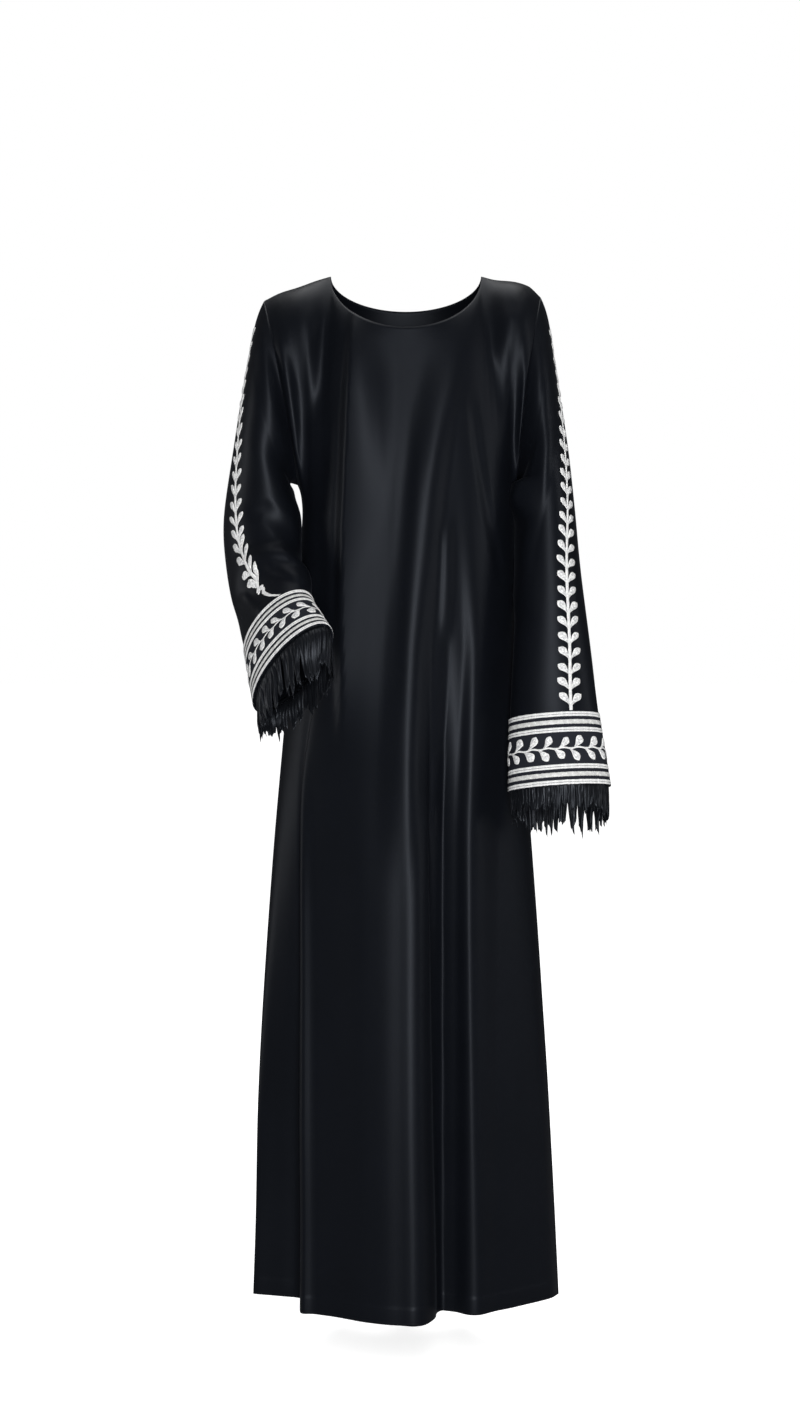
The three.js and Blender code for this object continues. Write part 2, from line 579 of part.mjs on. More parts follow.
// fringe: a strip inside the mouth with locks drawn out of its lower edge
function fringe(name, rings, grid, norm, seed) {
  let state = seed;
  const rand = () => {
    state = (state * 1664525 + 1013904223) % 4294967296;
    return state / 4294967296;
  };
  const lastRow = grid[0].length - 1;
  const count = 2 * LOCKS;
  const pos = [];
  const idx = [];
  const add = (p) => pos.push(p.x, p.y, p.z) / 3 - 1;
  const at = (k) => V(pos[3 * k], pos[3 * k + 1], pos[3 * k + 2]);
  const quad = (a, b2, c, d) => idx.push(a, b2, c, a, c, d);
  const axis = V(...rings[rings.length - 1].n).normalize();

  // a point of a sleeve row, evenly spaced by ring share, on the sleeve's own facets
  const onRow = (table, row, k) => {
    const w = k / count * grid.length;
    const i = Math.floor(w);
    return table[i % grid.length][row].clone().lerp(table[(i + 1) % grid.length][row], w - i);
  };
  const inset = CLOTH / 2 + SEAM_GAP;
  const lean = 0.35;                            // the strip's upper edge stands a little further in
  const ring = [];
  for (let k = 0; k < count; k++) {
    const edge = onRow(grid, lastRow, k);
    const n = onRow(norm, lastRow, k).normalize();
    const up = onRow(grid, lastRow - 1, k).sub(edge).normalize();
    const flat = n.addScaledVector(up, -n.dot(up)).normalize();
    const corner = (height, depth) => add(
      edge.clone().addScaledVector(up, STRIP_RISE + height).addScaledVector(flat, -depth),
    );
    ring.push({
      lo: corner(0, inset),
      li: corner(0, inset + STRIP_CLOTH),
      ho: corner(STRIP_HEIGHT, inset + lean),
      hi: corner(STRIP_HEIGHT, inset + lean + STRIP_CLOTH),
      flat,
    });
  }
  for (let k = 0; k < count; k++) {
    const a = ring[k];
    const c = ring[(k + 1) % count];
    quad(a.lo, c.lo, c.ho, a.ho);
    quad(a.li, a.hi, c.hi, c.li);
    quad(a.ho, c.ho, c.hi, a.hi);
    if (k % 2) {
      quad(a.lo, a.li, c.li, c.lo);
      continue;
    }
    // one lock: the bottom face of this stretch drawn down in two steps
    let above = [a.lo, a.li, c.li, c.lo];
    const corners = above.map(at);
    const mid = V(0, 0, 0);
    corners.forEach((p) => mid.addScaledVector(p, 0.25));
    const inward = a.flat.clone().add(c.flat).multiplyScalar(-0.5);
    const length = LOCK_LENGTH * (0.72 + 0.5 * rand());
    const sway = (rand() - 0.5) * 0.16;
    const along = at(c.lo).sub(at(a.lo)).normalize();
    const fall = axis.clone().multiplyScalar(0.55).add(V(0, 0, -0.62))
      .addScaledVector(inward, 0.10 + 0.06 * rand()).addScaledVector(along, sway).normalize();
    const start = axis.clone().addScaledVector(inward, 0.06).normalize();
    for (const [share, size] of [[0.34, 0.82], [1, 0.3]]) {
      const way = start.clone().lerp(fall, Math.min(1, share * 1.6)).normalize();
      const centre = mid.clone().addScaledVector(way, length * share);
      const below = corners.map((p) => add(p.clone().sub(mid).multiplyScalar(size).add(centre)));
      for (let m = 0; m < 4; m++) quad(above[m], above[(m + 1) % 4], below[(m + 1) % 4], below[m]);
      above = below;
    }
    quad(...above);
  }
  return finish(name, JET, pos, idx);
}

const group = new THREE.Group();
group.name = 'abaya';
group.add(
  ...inLengths('front_panel', PANEL_JOINS, front, normals.front, false),
  ...inLengths('back_panel', PANEL_JOINS, back, normals.back, false),
  ...inLengths('sleeve_right', SLEEVE_JOINS, right, normals.right, true),
  ...inLengths('sleeve_left', SLEEVE_JOINS, left, normals.left, true),
  cuffBand('cuff_band_right', right, normals.right),
  cuffBand('cuff_band_left', left, normals.left),
  fringe('fringe_right', SLEEVE_RIGHT, right, normals.right, 7),
  fringe('fringe_left', SLEEVE_LEFT, left, normals.left, 11),
);
export default group;
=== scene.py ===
# %% [markdown]
# # A black abaya in its worn form
# An abaya is a long loose robe that drops straight from the shoulders. This one
# is cut from a front, a back and two sleeves, and the only decoration is
# silver-white embroidery on the sleeves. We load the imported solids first, because they
# fix where everything is, and then make each piece again as thin cloth.

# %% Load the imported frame
import math
import random

import bpy
import numpy as np
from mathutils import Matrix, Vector


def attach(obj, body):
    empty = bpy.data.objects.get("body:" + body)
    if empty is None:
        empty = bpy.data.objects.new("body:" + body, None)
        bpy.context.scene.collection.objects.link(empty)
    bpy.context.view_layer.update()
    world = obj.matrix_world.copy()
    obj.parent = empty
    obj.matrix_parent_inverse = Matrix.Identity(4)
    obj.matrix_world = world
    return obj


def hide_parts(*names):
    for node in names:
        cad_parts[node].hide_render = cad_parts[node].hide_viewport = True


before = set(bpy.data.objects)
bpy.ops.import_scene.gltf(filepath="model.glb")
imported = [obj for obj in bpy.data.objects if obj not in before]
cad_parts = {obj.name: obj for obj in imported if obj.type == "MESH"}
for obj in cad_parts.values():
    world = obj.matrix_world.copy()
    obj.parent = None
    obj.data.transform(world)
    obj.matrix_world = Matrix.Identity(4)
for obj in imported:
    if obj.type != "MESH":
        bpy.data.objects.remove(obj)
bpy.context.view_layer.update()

# %% [markdown]
# ## Sizes and the cut
# Everything below is in millimetres, as a dressmaker works, and is turned into
# metres only when a mesh is made. The origin is the wearer's neck base, the
# front faces -Y and +X is the wearer's left. The body is a tube read off a short
# table of rings, and the hem is a line with its folds already in it. Each fold
# grows from its own starting height, so the cloth falls smooth from the
# shoulders and breaks into folds on its way down, as heavy crepe does.

# %% Named sizes
LENGTH = 1420            # high shoulder point to hem
CLOTH = 1.0              # shown thickness of the crepe at an edge
SEAM_GAP = 0.3           # a hair of a gap between two pieces reads as their seam
NECK_HALF, NECK_DROP_FRONT, NECK_DROP_BACK = 104, 82, 40
NECK_FORWARD, NECK_BACKWARD = 84, 60
SHOULDER_Y = 5           # the high shoulder points lie this far behind the neck base
UNDERARM = -288          # height of the underarm points
BAND_HEIGHT = 100        # embroidered stretch at the end of each sleeve
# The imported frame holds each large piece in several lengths.
PANEL_LENGTHS = ("hem", "skirt", "waist", "chest")
SLEEVE_LENGTHS = ("head", "arm", "elbow", "forearm", "wrist")
NECK_S = 0.62            # share of the panel width that is neckline at the top
ROW_SAG, SAG_FROM = 60, -760         # rows of cloth sag in the middle, from this height up
ROUND = 0.9              # 1 is an ellipse, less is fuller
DRIFT_FROM, DRIFT_TO = -348, -780    # columns drift to their place in the hem between these
GROW_POWER = 1.5         # how late a fold of the hem opens on its way down

# %% Rings of the body and the line of the hem
RINGS = dict(
    z=[-288, -297, -310, -327, -355, -420, -516, -642, -810, -976, -1142, -1337, -1420],
    half=[150, 149, 148.2, 147.5, 147.9, 151.5, 156.5, 167, 181, 193, 203, 210.5, 214],
    shift=[0, 2.5, 4.2, 4.5, 3.4, 1, -2, -3.5, -4.5, -4.5, -3.5, -0.5, 0],
    front=[119, 120, 120, 121, 121, 120, 117, 114, 112, 109, 107, 105, 105],
    back=[98, 98, 98, 99, 100, 103, 112, 124, 130, 129, 127, 125, 125],
)
HEM_FRONT = dict(
    s=[-1, -.905, -.81, -.715, -.62, -.56, -.52, -.48, -.44, -.36, -.27, -.18, -.09, -.02,
       .05, .1, .14, .17, .21, .29, .38, .46, .54, .62, .715, .81, .905, 1],
    x=[-214, -208, -192, -172, -152, -141, -139, -145, -142, -121, -90, -54, -20, 4,
       20, 32, 40, 41, 46, 61, 80, 98, 118, 139, 163, 184, 203, 214],
    y=[5, 3, -1, -7, -13, -25, -47, -75, -89, -101, -112, -127, -139, -142,
       -137, -124, -106, -91, -83, -79, -81, -84, -77, -65, -47, -31, -14, 5],
    start=[-420, -440, -470, -500, -520, -520, -520, -510, -500, -460, -420, -360, -320, -310,
           -320, -340, -360, -370, -370, -360, -350, -350, -370, -390, -410, -420, -420, -420],
)
HEM_BACK = dict(
    s=[-1, -.905, -.81, -.715, -.62, -.56, -.495, -.43, -.35, -.275, -.215, -.15, -.09, -.02,
       .055, .12, .185, .25, .33, .41, .475, .545, .62, .715, .81, .905, 1],
    x=[-214, -208, -197, -172, -148, -136, -123, -112, -92, -68, -51, -34, -23, -4,
       16, 31, 47, 60, 82, 102, 115, 131, 150, 176, 198, 209, 214],
    y=[5, 32, 62, 82, 66, 60, 88, 124, 138, 122, 98, 106, 134, 148,
       134, 105, 110, 136, 142, 118, 86, 80, 93, 84, 60, 32, 5],
    start=[-420, -430, -450, -480, -500, -500, -490, -470, -460, -470, -480, -480, -470, -460,
           -470, -480, -480, -470, -460, -470, -490, -500, -500, -480, -450, -430, -420],
)
# One fold edge, on the wearer's right, leans out to the side half way down.
EDGE_AT, EDGE_HALF = 0.5, 0.42
EDGE_LEAN = dict(z=[-1420, -1142, -976, -810, -700, -600, -500, -348],
                 lean=[0, -.016, -.04, -.085, -.115, -.07, -.02, 0])
print("hem line has", len(HEM_FRONT["s"]), "points in front and", len(HEM_BACK["s"]), "behind")

# %% Shoulder seams, and how the cloth arrives at them
SHOULDER = {
    -1: dict(t=[0, .25, .5, .75, 1], x=[-104, -124, -149, -174, -196],
             y=[5, 5, 5, 4, 3], z=[0, -6, -15, -23, -34]),
    1: dict(t=[0, .25, .5, .75, 1], x=[104, 124, 147, 168, 186],
            y=[5, 5, 5, 4, 3], z=[0, -5, -7, -13, -29]),
}
ARRIVE = dict(s=[0, .05, .3, .62, .8, 1], x=[0, 0, 5, 0, 0, 36], y=[45, 47, 150, 255, 350, 260],
              z=[250, 249, 210, 190, 60, 110])
ARMHOLE_LEAVE = (8, 255, 150)        # outward, toward front or back, and up
LEAVE_PULL, ARMHOLE_S = 290, 0.76    # pull of the other columns, and where the armhole takes over
EASE_REACH = 0.34        # how far along the top edge its corners are rounded off
EASE_WEIGHTS = ((-1, 1), (-.75, 3), (-.5, 6), (-.25, 9), (0, 10), (.25, 9), (.5, 6), (.75, 3), (1, 1))
SLEEVE_HEAD = 60         # how far the sleeve swings outward as it leaves the shoulder tip

# %% [markdown]
# ## Soft folds
# Under the deep folds of the skirt lie softer ones: drag lines from the
# shoulders, a ridge over the bust, a small tuck. They could be sculpted or
# simulated, but a short table of lines is easier to aim. Each line gives a
# height, a half width on either side, and its path down the front.

# %% The soft folds
FOLDS = [
    # what it is, height, half width to -X, half width to +X, path as (x, z)
    ("main ridge over the bust", 10, 40, 27,
     [(65, -88), (60, -119), (44, -200), (30, -300), (22, -396), (10, -516), (2, -664), (-4, -850)]),
    ("hollow beside the ridge", -1.6, 15, 13,
     [(12, -190), (3, -300), (-4, -400), (-10, -520), (-14, -640)]),
    ("plateau beside the ridge", 5, 32, 17, [(22, -560), (22, -700), (22, -1250), (22, -2100)]),
    ("second ridge", 12, 23, 40,
     [(78, -215), (84, -257), (90, -378), (97, -516), (93, -640), (89, -760), (88, -900), (88, -2100)]),
    ("trough between the ridges", -9, 17, 19,
     [(56, -350), (55, -450), (55, -540), (51, -640), (49, -760), (49, -2100)]),
    ("small ridge", 3, 11, 11, [(55, -331), (55, -423), (53, -516)]),
    ("lower small ridge", 2.5, 11, 11, [(41, -638), (40, -705), (39, -785)]),
    ("tuck beside the bust", 14, 10, 66,
     [(-66, -10), (-75, -110), (-79, -180), (-82, -260), (-86, -350), (-88, -470), (-88, -680)]),
    ("hollow beside the tuck", -6, 32, 19,
     [(-103, -180), (-113, -248), (-119, -342), (-119, -477), (-113, -584)]),
    ("diagonal crease", -3, 9, 12, [(84, -159), (95, -247), (111, -342), (128, -416), (144, -446)]),
    ("right shoulder wedge", 2.4, 23, 23, [(-135, -42), (-135, -82), (-132, -137), (-131, -191)]),
    ("right shoulder trough", -2.8, 17, 19,
     [(-113, -49), (-117, -110), (-117, -166), (-124, -219)]),
    ("left shoulder ridge", 2.4, 23, 23, [(148, -46), (138, -93), (122, -140)]),
    ("left armhole trough", -1.6, 14, 17,
     [(178, -44), (166, -96), (158, -145), (153, -201), (144, -274), (148, -333)]),
    ("low trough", -10, 26, 72, [(-124, -560), (-124, -985), (-124, -1225), (-122, -1900)]),
    ("right sleeve drag ridge", 3.6, 18, 16,
     [(-199, -53), (-192, -112), (-186, -149), (-176, -198), (-162, -246), (-153, -278)]),
    ("right sleeve drag trough", -3, 14, 14,
     [(-189, -72), (-181, -113), (-173, -160), (-158, -225), (-148, -276)]),
    ("right sleeve second ridge", 2.4, 14, 14,
     [(-179, -87), (-173, -114), (-164, -144), (-152, -183)]),
    ("left sleeve ridge 1", 3, 16, 16,
     [(185, -72), (182, -94), (174, -143), (163, -205), (151, -279)]),
    ("left sleeve ridge 2", 3, 13, 18,
     [(190, -86), (189, -105), (182, -160), (175, -226), (165, -274), (157, -353)]),
    ("left sleeve ridge 3", 4, 12, 14,
     [(197, -184), (195, -195), (190, -244), (178, -308), (164, -373), (155, -449)]),
    ("left sleeve hollow", -3, 16, 22, [(176, -233), (168, -314), (154, -409), (149, -503)]),
    ("elbow hollow", -4, 19, 19,
     [(-226, -336), (-210, -329), (-192, -328), (-169, -347), (-150, -374), (-135, -401), (-126, -416)]),
    ("elbow ridge", 4, 12, 13,
     [(-194, -396), (-181, -404), (-163, -411), (-144, -419), (-132, -433)]),
    ("ridge under the vine", 4, 11, 11, [(-224, -436), (-219, -447), (-205, -460), (-189, -466)]),
]
CREASED = ("tuck beside the bust", "trough between the ridges")      # sharp where others are round
FOLD_END = 0.25          # share of its length over which a fold dies away at either end
FOLD_SIDE = (12, -28)    # soft folds fade out between these depths, round the side
print(len(FOLDS), "soft folds")

# %% [markdown]
# ## Reading the tables
# A monotone cubic goes through the rows of a table without overshooting, so a
# fold that is drawn 40 mm deep is never 45 mm deep between two rows. All the
# helpers work on whole arrays, which keeps a fine mesh quick to make.

# %% Helpers that read a table
def smooth(a, b, v):
    """0 at a, 1 at b, an even S between; b may lie below a."""
    t = np.clip((v - a) / (b - a), 0, 1)
    return t * t * (3 - 2 * t)


def curve(table, key, at, column):
    """A column of the table, read by monotone cubic at places along its key."""
    xs, ys = np.asarray(table[key], float), np.asarray(table[column], float)
    if xs[0] > xs[-1]:
        xs, ys = xs[::-1], ys[::-1]
    h = np.diff(xs)
    d = np.diff(ys) / h
    m = np.concatenate([[d[0]], np.zeros(len(xs) - 2), [d[-1]]])
    same = d[:-1] * d[1:] > 0
    w1, w2 = 2 * h[1:] + h[:-1], h[1:] + 2 * h[:-1]
    m[1:-1][same] = ((w1 + w2) / (w1 / np.where(same, d[:-1], 1) + w2 / np.where(same, d[1:], 1)))[same]
    v = np.clip(at, xs[0], xs[-1])
    i = np.clip(np.searchsorted(xs, v, side="right") - 1, 0, len(xs) - 2)
    t = (v - xs[i]) / h[i]
    return (ys[i] * (2 * t**3 - 3 * t**2 + 1) + m[i] * h[i] * (t**3 - 2 * t**2 + t)
            + ys[i + 1] * (-2 * t**3 + 3 * t**2) + m[i + 1] * h[i] * (t**3 - t**2))


def fold_height(x, z):
    total = np.zeros_like(x)
    for what, height, wide_minus, wide_plus, path in FOLDS:
        p = np.asarray(path, float)
        lengths = np.hypot(*(p[1:] - p[:-1]).T)
        best, along, side = np.full(x.shape, 1e9), np.zeros_like(x), np.zeros_like(x)
        run = 0.0
        for a, b, length in zip(p[:-1], p[1:], lengths):
            t = np.clip(((x - a[0]) * (b[0] - a[0]) + (z - a[1]) * (b[1] - a[1])) / length**2, 0, 1)
            dx, dz = x - a[0] - t * (b[0] - a[0]), z - a[1] - t * (b[1] - a[1])
            dist = np.hypot(dx, dz)
            near = dist < best
            best, side = np.where(near, dist, best), np.where(near, dx, side)
            along = np.where(near, run + t * length, along)
            run += length
        wide = np.where(side < 0, wide_minus, wide_plus)
        u = np.clip(best / wide, 0, 1)
        across = (1 - u) ** 1.5 if what in CREASED else (1 - u**2) ** 2
        ends = smooth(0, FOLD_END, along / run) * smooth(0, FOLD_END, 1 - along / run)
        total += height * across * ends
    return total


def raise_folds(points):
    front_side = smooth(*FOLD_SIDE, points[..., 1])
    out = points.copy()
    out[..., 1] -= fold_height(points[..., 0], points[..., 2]) * front_side
    return out

# %% [markdown]
# ## The body surface
# Below the underarm a row of the panel follows a ring. Above it each column of
# cloth runs up to the neckline or over the shoulder to its seam. The two meet in
# one smooth curve, as the uncut cloth does.

# %% Points on the front and back panels
def body_points(side, s, z):
    hem = HEM_FRONT if side < 0 else HEM_BACK
    column = "front" if side < 0 else "back"
    half, depth = curve(RINGS, "z", z, "half"), curve(RINGS, "z", z, column)
    hem_half, hem_depth = RINGS["half"][-1], RINGS[column][-1]
    hem_x = curve(hem, "s", s, "x") / hem_half
    hem_y, start = curve(hem, "s", s, "y"), curve(hem, "s", s, "start")
    grow = np.sin(np.clip((start - z) / (start + LENGTH), 0, 1) * math.pi / 2) ** GROW_POWER
    turn_hem = np.arcsin(np.clip(hem_x, -1, 1)) * 2 / math.pi
    turn = s + (turn_hem - s) * smooth(DRIFT_FROM, DRIFT_TO, z)
    if side < 0:
        near_edge = np.clip(1 - ((s + EDGE_AT) / EDGE_HALF) ** 2, 0, 1) ** 2
        turn = turn + curve(EDGE_LEAN, "z", z, "lean") * near_edge
    q = np.sin(turn * math.pi / 2)
    ring = side * depth * np.clip(1 - q * q, 0, 1) ** (ROUND / 2)
    ring_hem = side * hem_depth * np.clip(1 - hem_x * hem_x, 0, 1) ** (ROUND / 2)
    x = curve(RINGS, "z", z, "shift") + half * q
    return np.stack([x, ring + grow * (hem_y - ring_hem), z + 0 * s], -1)


def top_edge(side, s):
    a = np.abs(s)
    n = np.clip(s / NECK_S, -1, 1) * math.pi / 2
    c = np.cos(n)
    if side < 0:
        reach, drop = NECK_FORWARD + SHOULDER_Y, NECK_DROP_FRONT
    else:
        reach, drop = NECK_BACKWARD - SHOULDER_Y, NECK_DROP_BACK
    neck = np.stack([NECK_HALF * np.sin(n), SHOULDER_Y + side * reach * c, -drop * c], -1)
    t = np.clip((a - NECK_S) / (1 - NECK_S), 0, 1)
    seams = [np.stack([curve(SHOULDER[w], "t", t, axis) for axis in "xyz"], -1) for w in (-1, 1)]
    seam = np.where((s < 0)[..., None], seams[0], seams[1])
    return np.where((a <= NECK_S + 1e-9)[..., None], neck, seam)


def eased_top(side, s, share):
    """The top edge, rounder the further a row lies below it."""
    w = np.minimum(EASE_REACH * np.sqrt(np.clip(1 - share, 0, 1)), 1 - np.abs(s))
    whole = sum(part for _, part in EASE_WEIGHTS)
    return sum(top_edge(side, s + k * w) * part / whole for k, part in EASE_WEIGHTS)


def row_height(s, z_side):
    return z_side - ROW_SAG * smooth(SAG_FROM, UNDERARM, z_side) * (1 - np.abs(s) ** 4)


def panel_points(side, s, row):
    """row below 0 is a height on the side seam, 0 to 1 a share of the armhole."""
    s, row = np.broadcast_arrays(np.asarray(s, float), np.asarray(row, float))
    low = body_points(side, s, row_height(s, np.minimum(row, UNDERARM)))
    share = np.clip(row, 0, 1)
    z0 = row_height(s, np.full_like(s, float(UNDERARM)))
    p0 = body_points(side, s, z0)
    up = p0 - body_points(side, s, z0 - 4)
    up *= LEAVE_PULL / np.linalg.norm(up, axis=-1, keepdims=True)
    e = smooth(ARMHOLE_S, 1, np.abs(s))[..., None]
    outward, aside, rise = ARMHOLE_LEAVE
    leave = np.stack([np.sign(s) * outward, side * aside + 0 * s, rise + 0 * s], -1)
    up = up * (1 - e) + leave * e
    a = np.abs(s)
    arrive = np.stack([np.sign(s) * curve(ARRIVE, "s", a, "x"), -side * curve(ARRIVE, "s", a, "y"),
                       curve(ARRIVE, "s", a, "z")], -1)
    t = share[..., None]
    high = (p0 * (2 * t**3 - 3 * t**2 + 1) + up * (t**3 - 2 * t**2 + t)
            + eased_top(side, s, share) * (-2 * t**3 + 3 * t**2) + arrive * (t**3 - t**2))
    return np.where((row < 0)[..., None], low, high)

# %% [markdown]
# ## The sleeve surface
# A sleeve is a tube from the armhole loop to the wrist. It is described by a few
# rings along the arm, each with the way it runs, the way to its front, and its
# two radii. The wearer's left arm hangs straight, the right one bends at the
# elbow and comes forward.

# %% Rings of the sleeves
RIGHT, LEFT = -1, 1
SLEEVES = {
    RIGHT: [
        # centre, way it runs, way to the front, front radius, outer radius, turn
        ((-189, -4, -203.5), (-.943, 0, -.33), (0, -1, 0), 72, 87.2, 82),
        ((-194.5, -4, -256.5), (-.74, 0, -.672), (0, -1, 0), 72, 58.8, 58),
        ((-199, -8, -330), (-.02, 0, -1), (.45, -.89, 0), 68, 49, 66),
        ((-197, -22, -384), (.05, -.30, -.95), (.58, -.76, .28), 66, 45, 68),
        ((-190, -52, -424), (.15, -.62, -.77), (.55, -.64, .54), 65, 42, 48),
        ((-178, -77, -452), (.22, -.79, -.57), (.62, -.35, .70), 66, 34, 40),
        ((-171, -111, -486), (.234, -.805, -.545), (.62, -.338, .765), 63, 34, 40),
        ((-148, -195, -542), (.234, -.805, -.545), (.62, -.338, .765), 76, 32, 40),
    ],
    LEFT: [
        ((182, -6, -202), (.96, 0, -.27), (0, -1, 0), 72, 84, 82),
        ((188.5, -13, -253), (.785, -.05, -.62), (0, -1, 0), 72, 50, 60),
        ((192.5, -24, -325), (.06, -.17, -.985), (0, -1, 0), 68, 39, 42),
        ((195, -50, -420), (.02, -.22, -.975), (0, -1, 0), 58, 44, 28),
        ((197.5, -75, -516), (.04, -.20, -.98), (0, -1, 0), 46, 52, 24),
        ((200, -90, -607), (.06, -.20, -.978), (0, -1, 0), 40, 59.5, 20),
        ((206, -109, -704), (.06, -.20, -.978), (0, -1, 0), 40, 67.5, 20),
    ],
}


def unit(v):
    v = np.asarray(v, float)
    return v / np.linalg.norm(v, axis=-1, keepdims=True)


def ring_points(side, ring, angle):
    centre, n, l, front, out, turn = ring
    n = unit(n)
    l = np.asarray(l, float)
    l = unit(l - n * (l @ n))
    b = -side * np.cross(n, l)
    beta = math.radians(turn) - angle
    return (np.asarray(centre, float) + front * np.cos(beta)[:, None] * l
            + out * np.sin(beta)[:, None] * b)


def armhole_points(side, angle):
    a = np.mod(angle, 2 * math.pi)
    in_front = a <= math.pi + 1e-9
    share = np.where(in_front, 1 - a / math.pi, a / math.pi - 1)
    s = np.full_like(a, float(side))
    return np.where(in_front[:, None], panel_points(-1, s, share), panel_points(1, s, share))


def sleeve_grid(side, angle, stations):
    loops = [armhole_points(side, angle)] + [ring_points(side, r, angle) for r in SLEEVES[side]]
    last = len(loops) - 1
    head = np.zeros_like(loops[0])
    head[:, 0] = side * SLEEVE_HEAD * np.clip(np.cos(angle), 0, 1) ** 2
    columns = []
    for t in stations:
        i = min(int(t), last - 1)
        f = t - i
        p1, p2 = loops[i], loops[i + 1]
        p0 = loops[i - 1] if i > 0 else 2 * p1 - p2 - head
        p3 = loops[i + 2] if i + 2 <= last else 2 * p2 - p1
        d1, d2, d3 = (np.sqrt(np.linalg.norm(a - b, axis=-1, keepdims=True))
                      for a, b in ((p0, p1), (p1, p2), (p2, p3)))
        m1 = ((p2 - p1) / d2 - (p2 - p0) / (d1 + d2) + (p1 - p0) / d1) * d2
        m2 = ((p2 - p1) / d2 - (p3 - p1) / (d2 + d3) + (p3 - p2) / d3) * d2
        columns.append(p1 * (2 * f**3 - 3 * f**2 + 1) + m1 * (f**3 - 2 * f**2 + f)
                       + p2 * (-2 * f**3 + 3 * f**2) + m2 * (f**3 - f**2))
    return np.stack(columns, 1)

# %% [markdown]
# ## From points to pieces of cloth
# A grid of points becomes a mesh of quads. Cloth needs an edge thickness, which
# the Solidify modifier gives, and it is applied so that the piece is plain mesh.

# %% Mesh helpers
def grid_normals(points, closed, flip=1.0):
    if closed:
        du = np.roll(points, -1, 0) - np.roll(points, 1, 0)
    else:
        du = np.gradient(points, axis=0)
    dv = np.gradient(points, axis=1)
    return unit(np.cross(du, dv)) * flip


def new_object(name, verts_mm, faces, material, uv=None):
    mesh = bpy.data.meshes.new(name)
    mesh.from_pydata((np.asarray(verts_mm) / 1000).tolist(), [], faces)
    mesh.polygons.foreach_set("use_smooth", [True] * len(mesh.polygons))
    if uv is not None:
        layer = mesh.uv_layers.new(name="stitch")
        index = np.empty(len(mesh.loops), int)
        mesh.loops.foreach_get("vertex_index", index)
        layer.data.foreach_set("uv", np.asarray(uv, float)[index].ravel())
    mesh.materials.append(material)
    mesh.update()
    obj = bpy.data.objects.new(name, mesh)
    bpy.context.scene.collection.objects.link(obj)
    return obj


def grid_faces(nu, nv, closed=False, flip=False, first=0):
    iu = np.arange(nu if closed else nu - 1)[:, None]
    j = np.arange(nv - 1)[None, :]
    a, b = first + iu * nv + j, first + ((iu + 1) % nu) * nv + j
    quads = np.stack([a, b, b + 1, a + 1], -1).reshape(-1, 4)
    return (quads[:, ::-1] if flip else quads).tolist()


def cloth_object(name, points, material, closed=False, flip=False, thickness=CLOTH):
    nu, nv = points.shape[:2]
    obj = new_object(name, points.reshape(-1, 3), grid_faces(nu, nv, closed, flip), material)
    thicken(obj, thickness)
    return obj


def thicken(obj, thickness):
    """Give the sheet its thickness, half of it to either side, as plain mesh."""
    solid = obj.modifiers.new("thickness", "SOLIDIFY")
    solid.thickness, solid.offset = thickness / 1000, 0
    bpy.context.view_layer.update()
    done = bpy.data.meshes.new_from_object(obj.evaluated_get(bpy.context.evaluated_depsgraph_get()))
    old, name = obj.data, obj.data.name
    obj.modifiers.clear()
    obj.data = done
    bpy.data.meshes.remove(old)
    done.name = name


def keep(obj, nodes=()):
    """Join the piece to the frame's body and hide the solids it stands for."""
    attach(obj, "root")
    if nodes:
        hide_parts(*nodes)
    print(obj.name, len(obj.data.polygons), "faces")


def joined(name, parts, material):
    """One object from several (points, faces, uv, painted edge highlight) lists."""
    verts, faces, uvs, rim_highlights, first = [], [], [], [], 0
    for points, quads, uv, rim_highlight in parts:
        verts.append(points)
        uvs.append(uv)
        rim_highlights.append(np.broadcast_to(rim_highlight, len(points)))
        faces += [[k + first for k in q] for q in quads]
        first += len(points)
    obj = new_object(name, np.concatenate(verts), faces, material, np.concatenate(uvs))
    # Each point keeps its share of the painted edge highlight, which the thread material reads.
    obj.data.attributes.new("rim_highlight", "FLOAT", "POINT").data.foreach_set("value", np.concatenate(rim_highlights))
    return obj

# %% [markdown]
# ## Materials
# The cloth is a satin-faced polyester crepe: nearly black, smooth, with a broad
# soft sheen and a crepe grain far too fine to show, so its bump is drawn a
# little coarser. The embroidery is silver-white rayon thread in satin stitch.
# Colours are hex values as on a dyer's card, turned to linear in one place.

# %% Colour and node helpers
def dye(code):
    parts = [int(code[k:k + 2], 16) / 255 for k in (1, 3, 5)]
    return (*[c / 12.92 if c <= 0.04045 else ((c + 0.055) / 1.055) ** 2.4 for c in parts], 1.0)


def add_node(tree, kind, settings=None, links=None):
    """One node, its settings or socket values, and the sockets that feed it."""
    node = tree.nodes.new(kind)
    for key, value in (settings or {}).items():
        if isinstance(key, int) or key in node.inputs:
            node.inputs[key].default_value = value
        else:
            setattr(node, key, value)
    for socket, source in (links or {}).items():
        tree.links.new(source, node.inputs[socket])
    return node


def start_material(name):
    material = bpy.data.materials.new(name)
    material.use_nodes = True
    material.node_tree.nodes.clear()
    return material, material.node_tree


def finish_material(tree, shader):
    add_node(tree, "ShaderNodeOutputMaterial", {}, {"Surface": shader.outputs["BSDF"]})

# %% Crepe for the body and sleeves
CREPE_GRAIN_MM = 1.6     # real grain is near 0.3 mm and would not show
SLUB_MM = 1000 / 14      # slow change of shade along the cloth


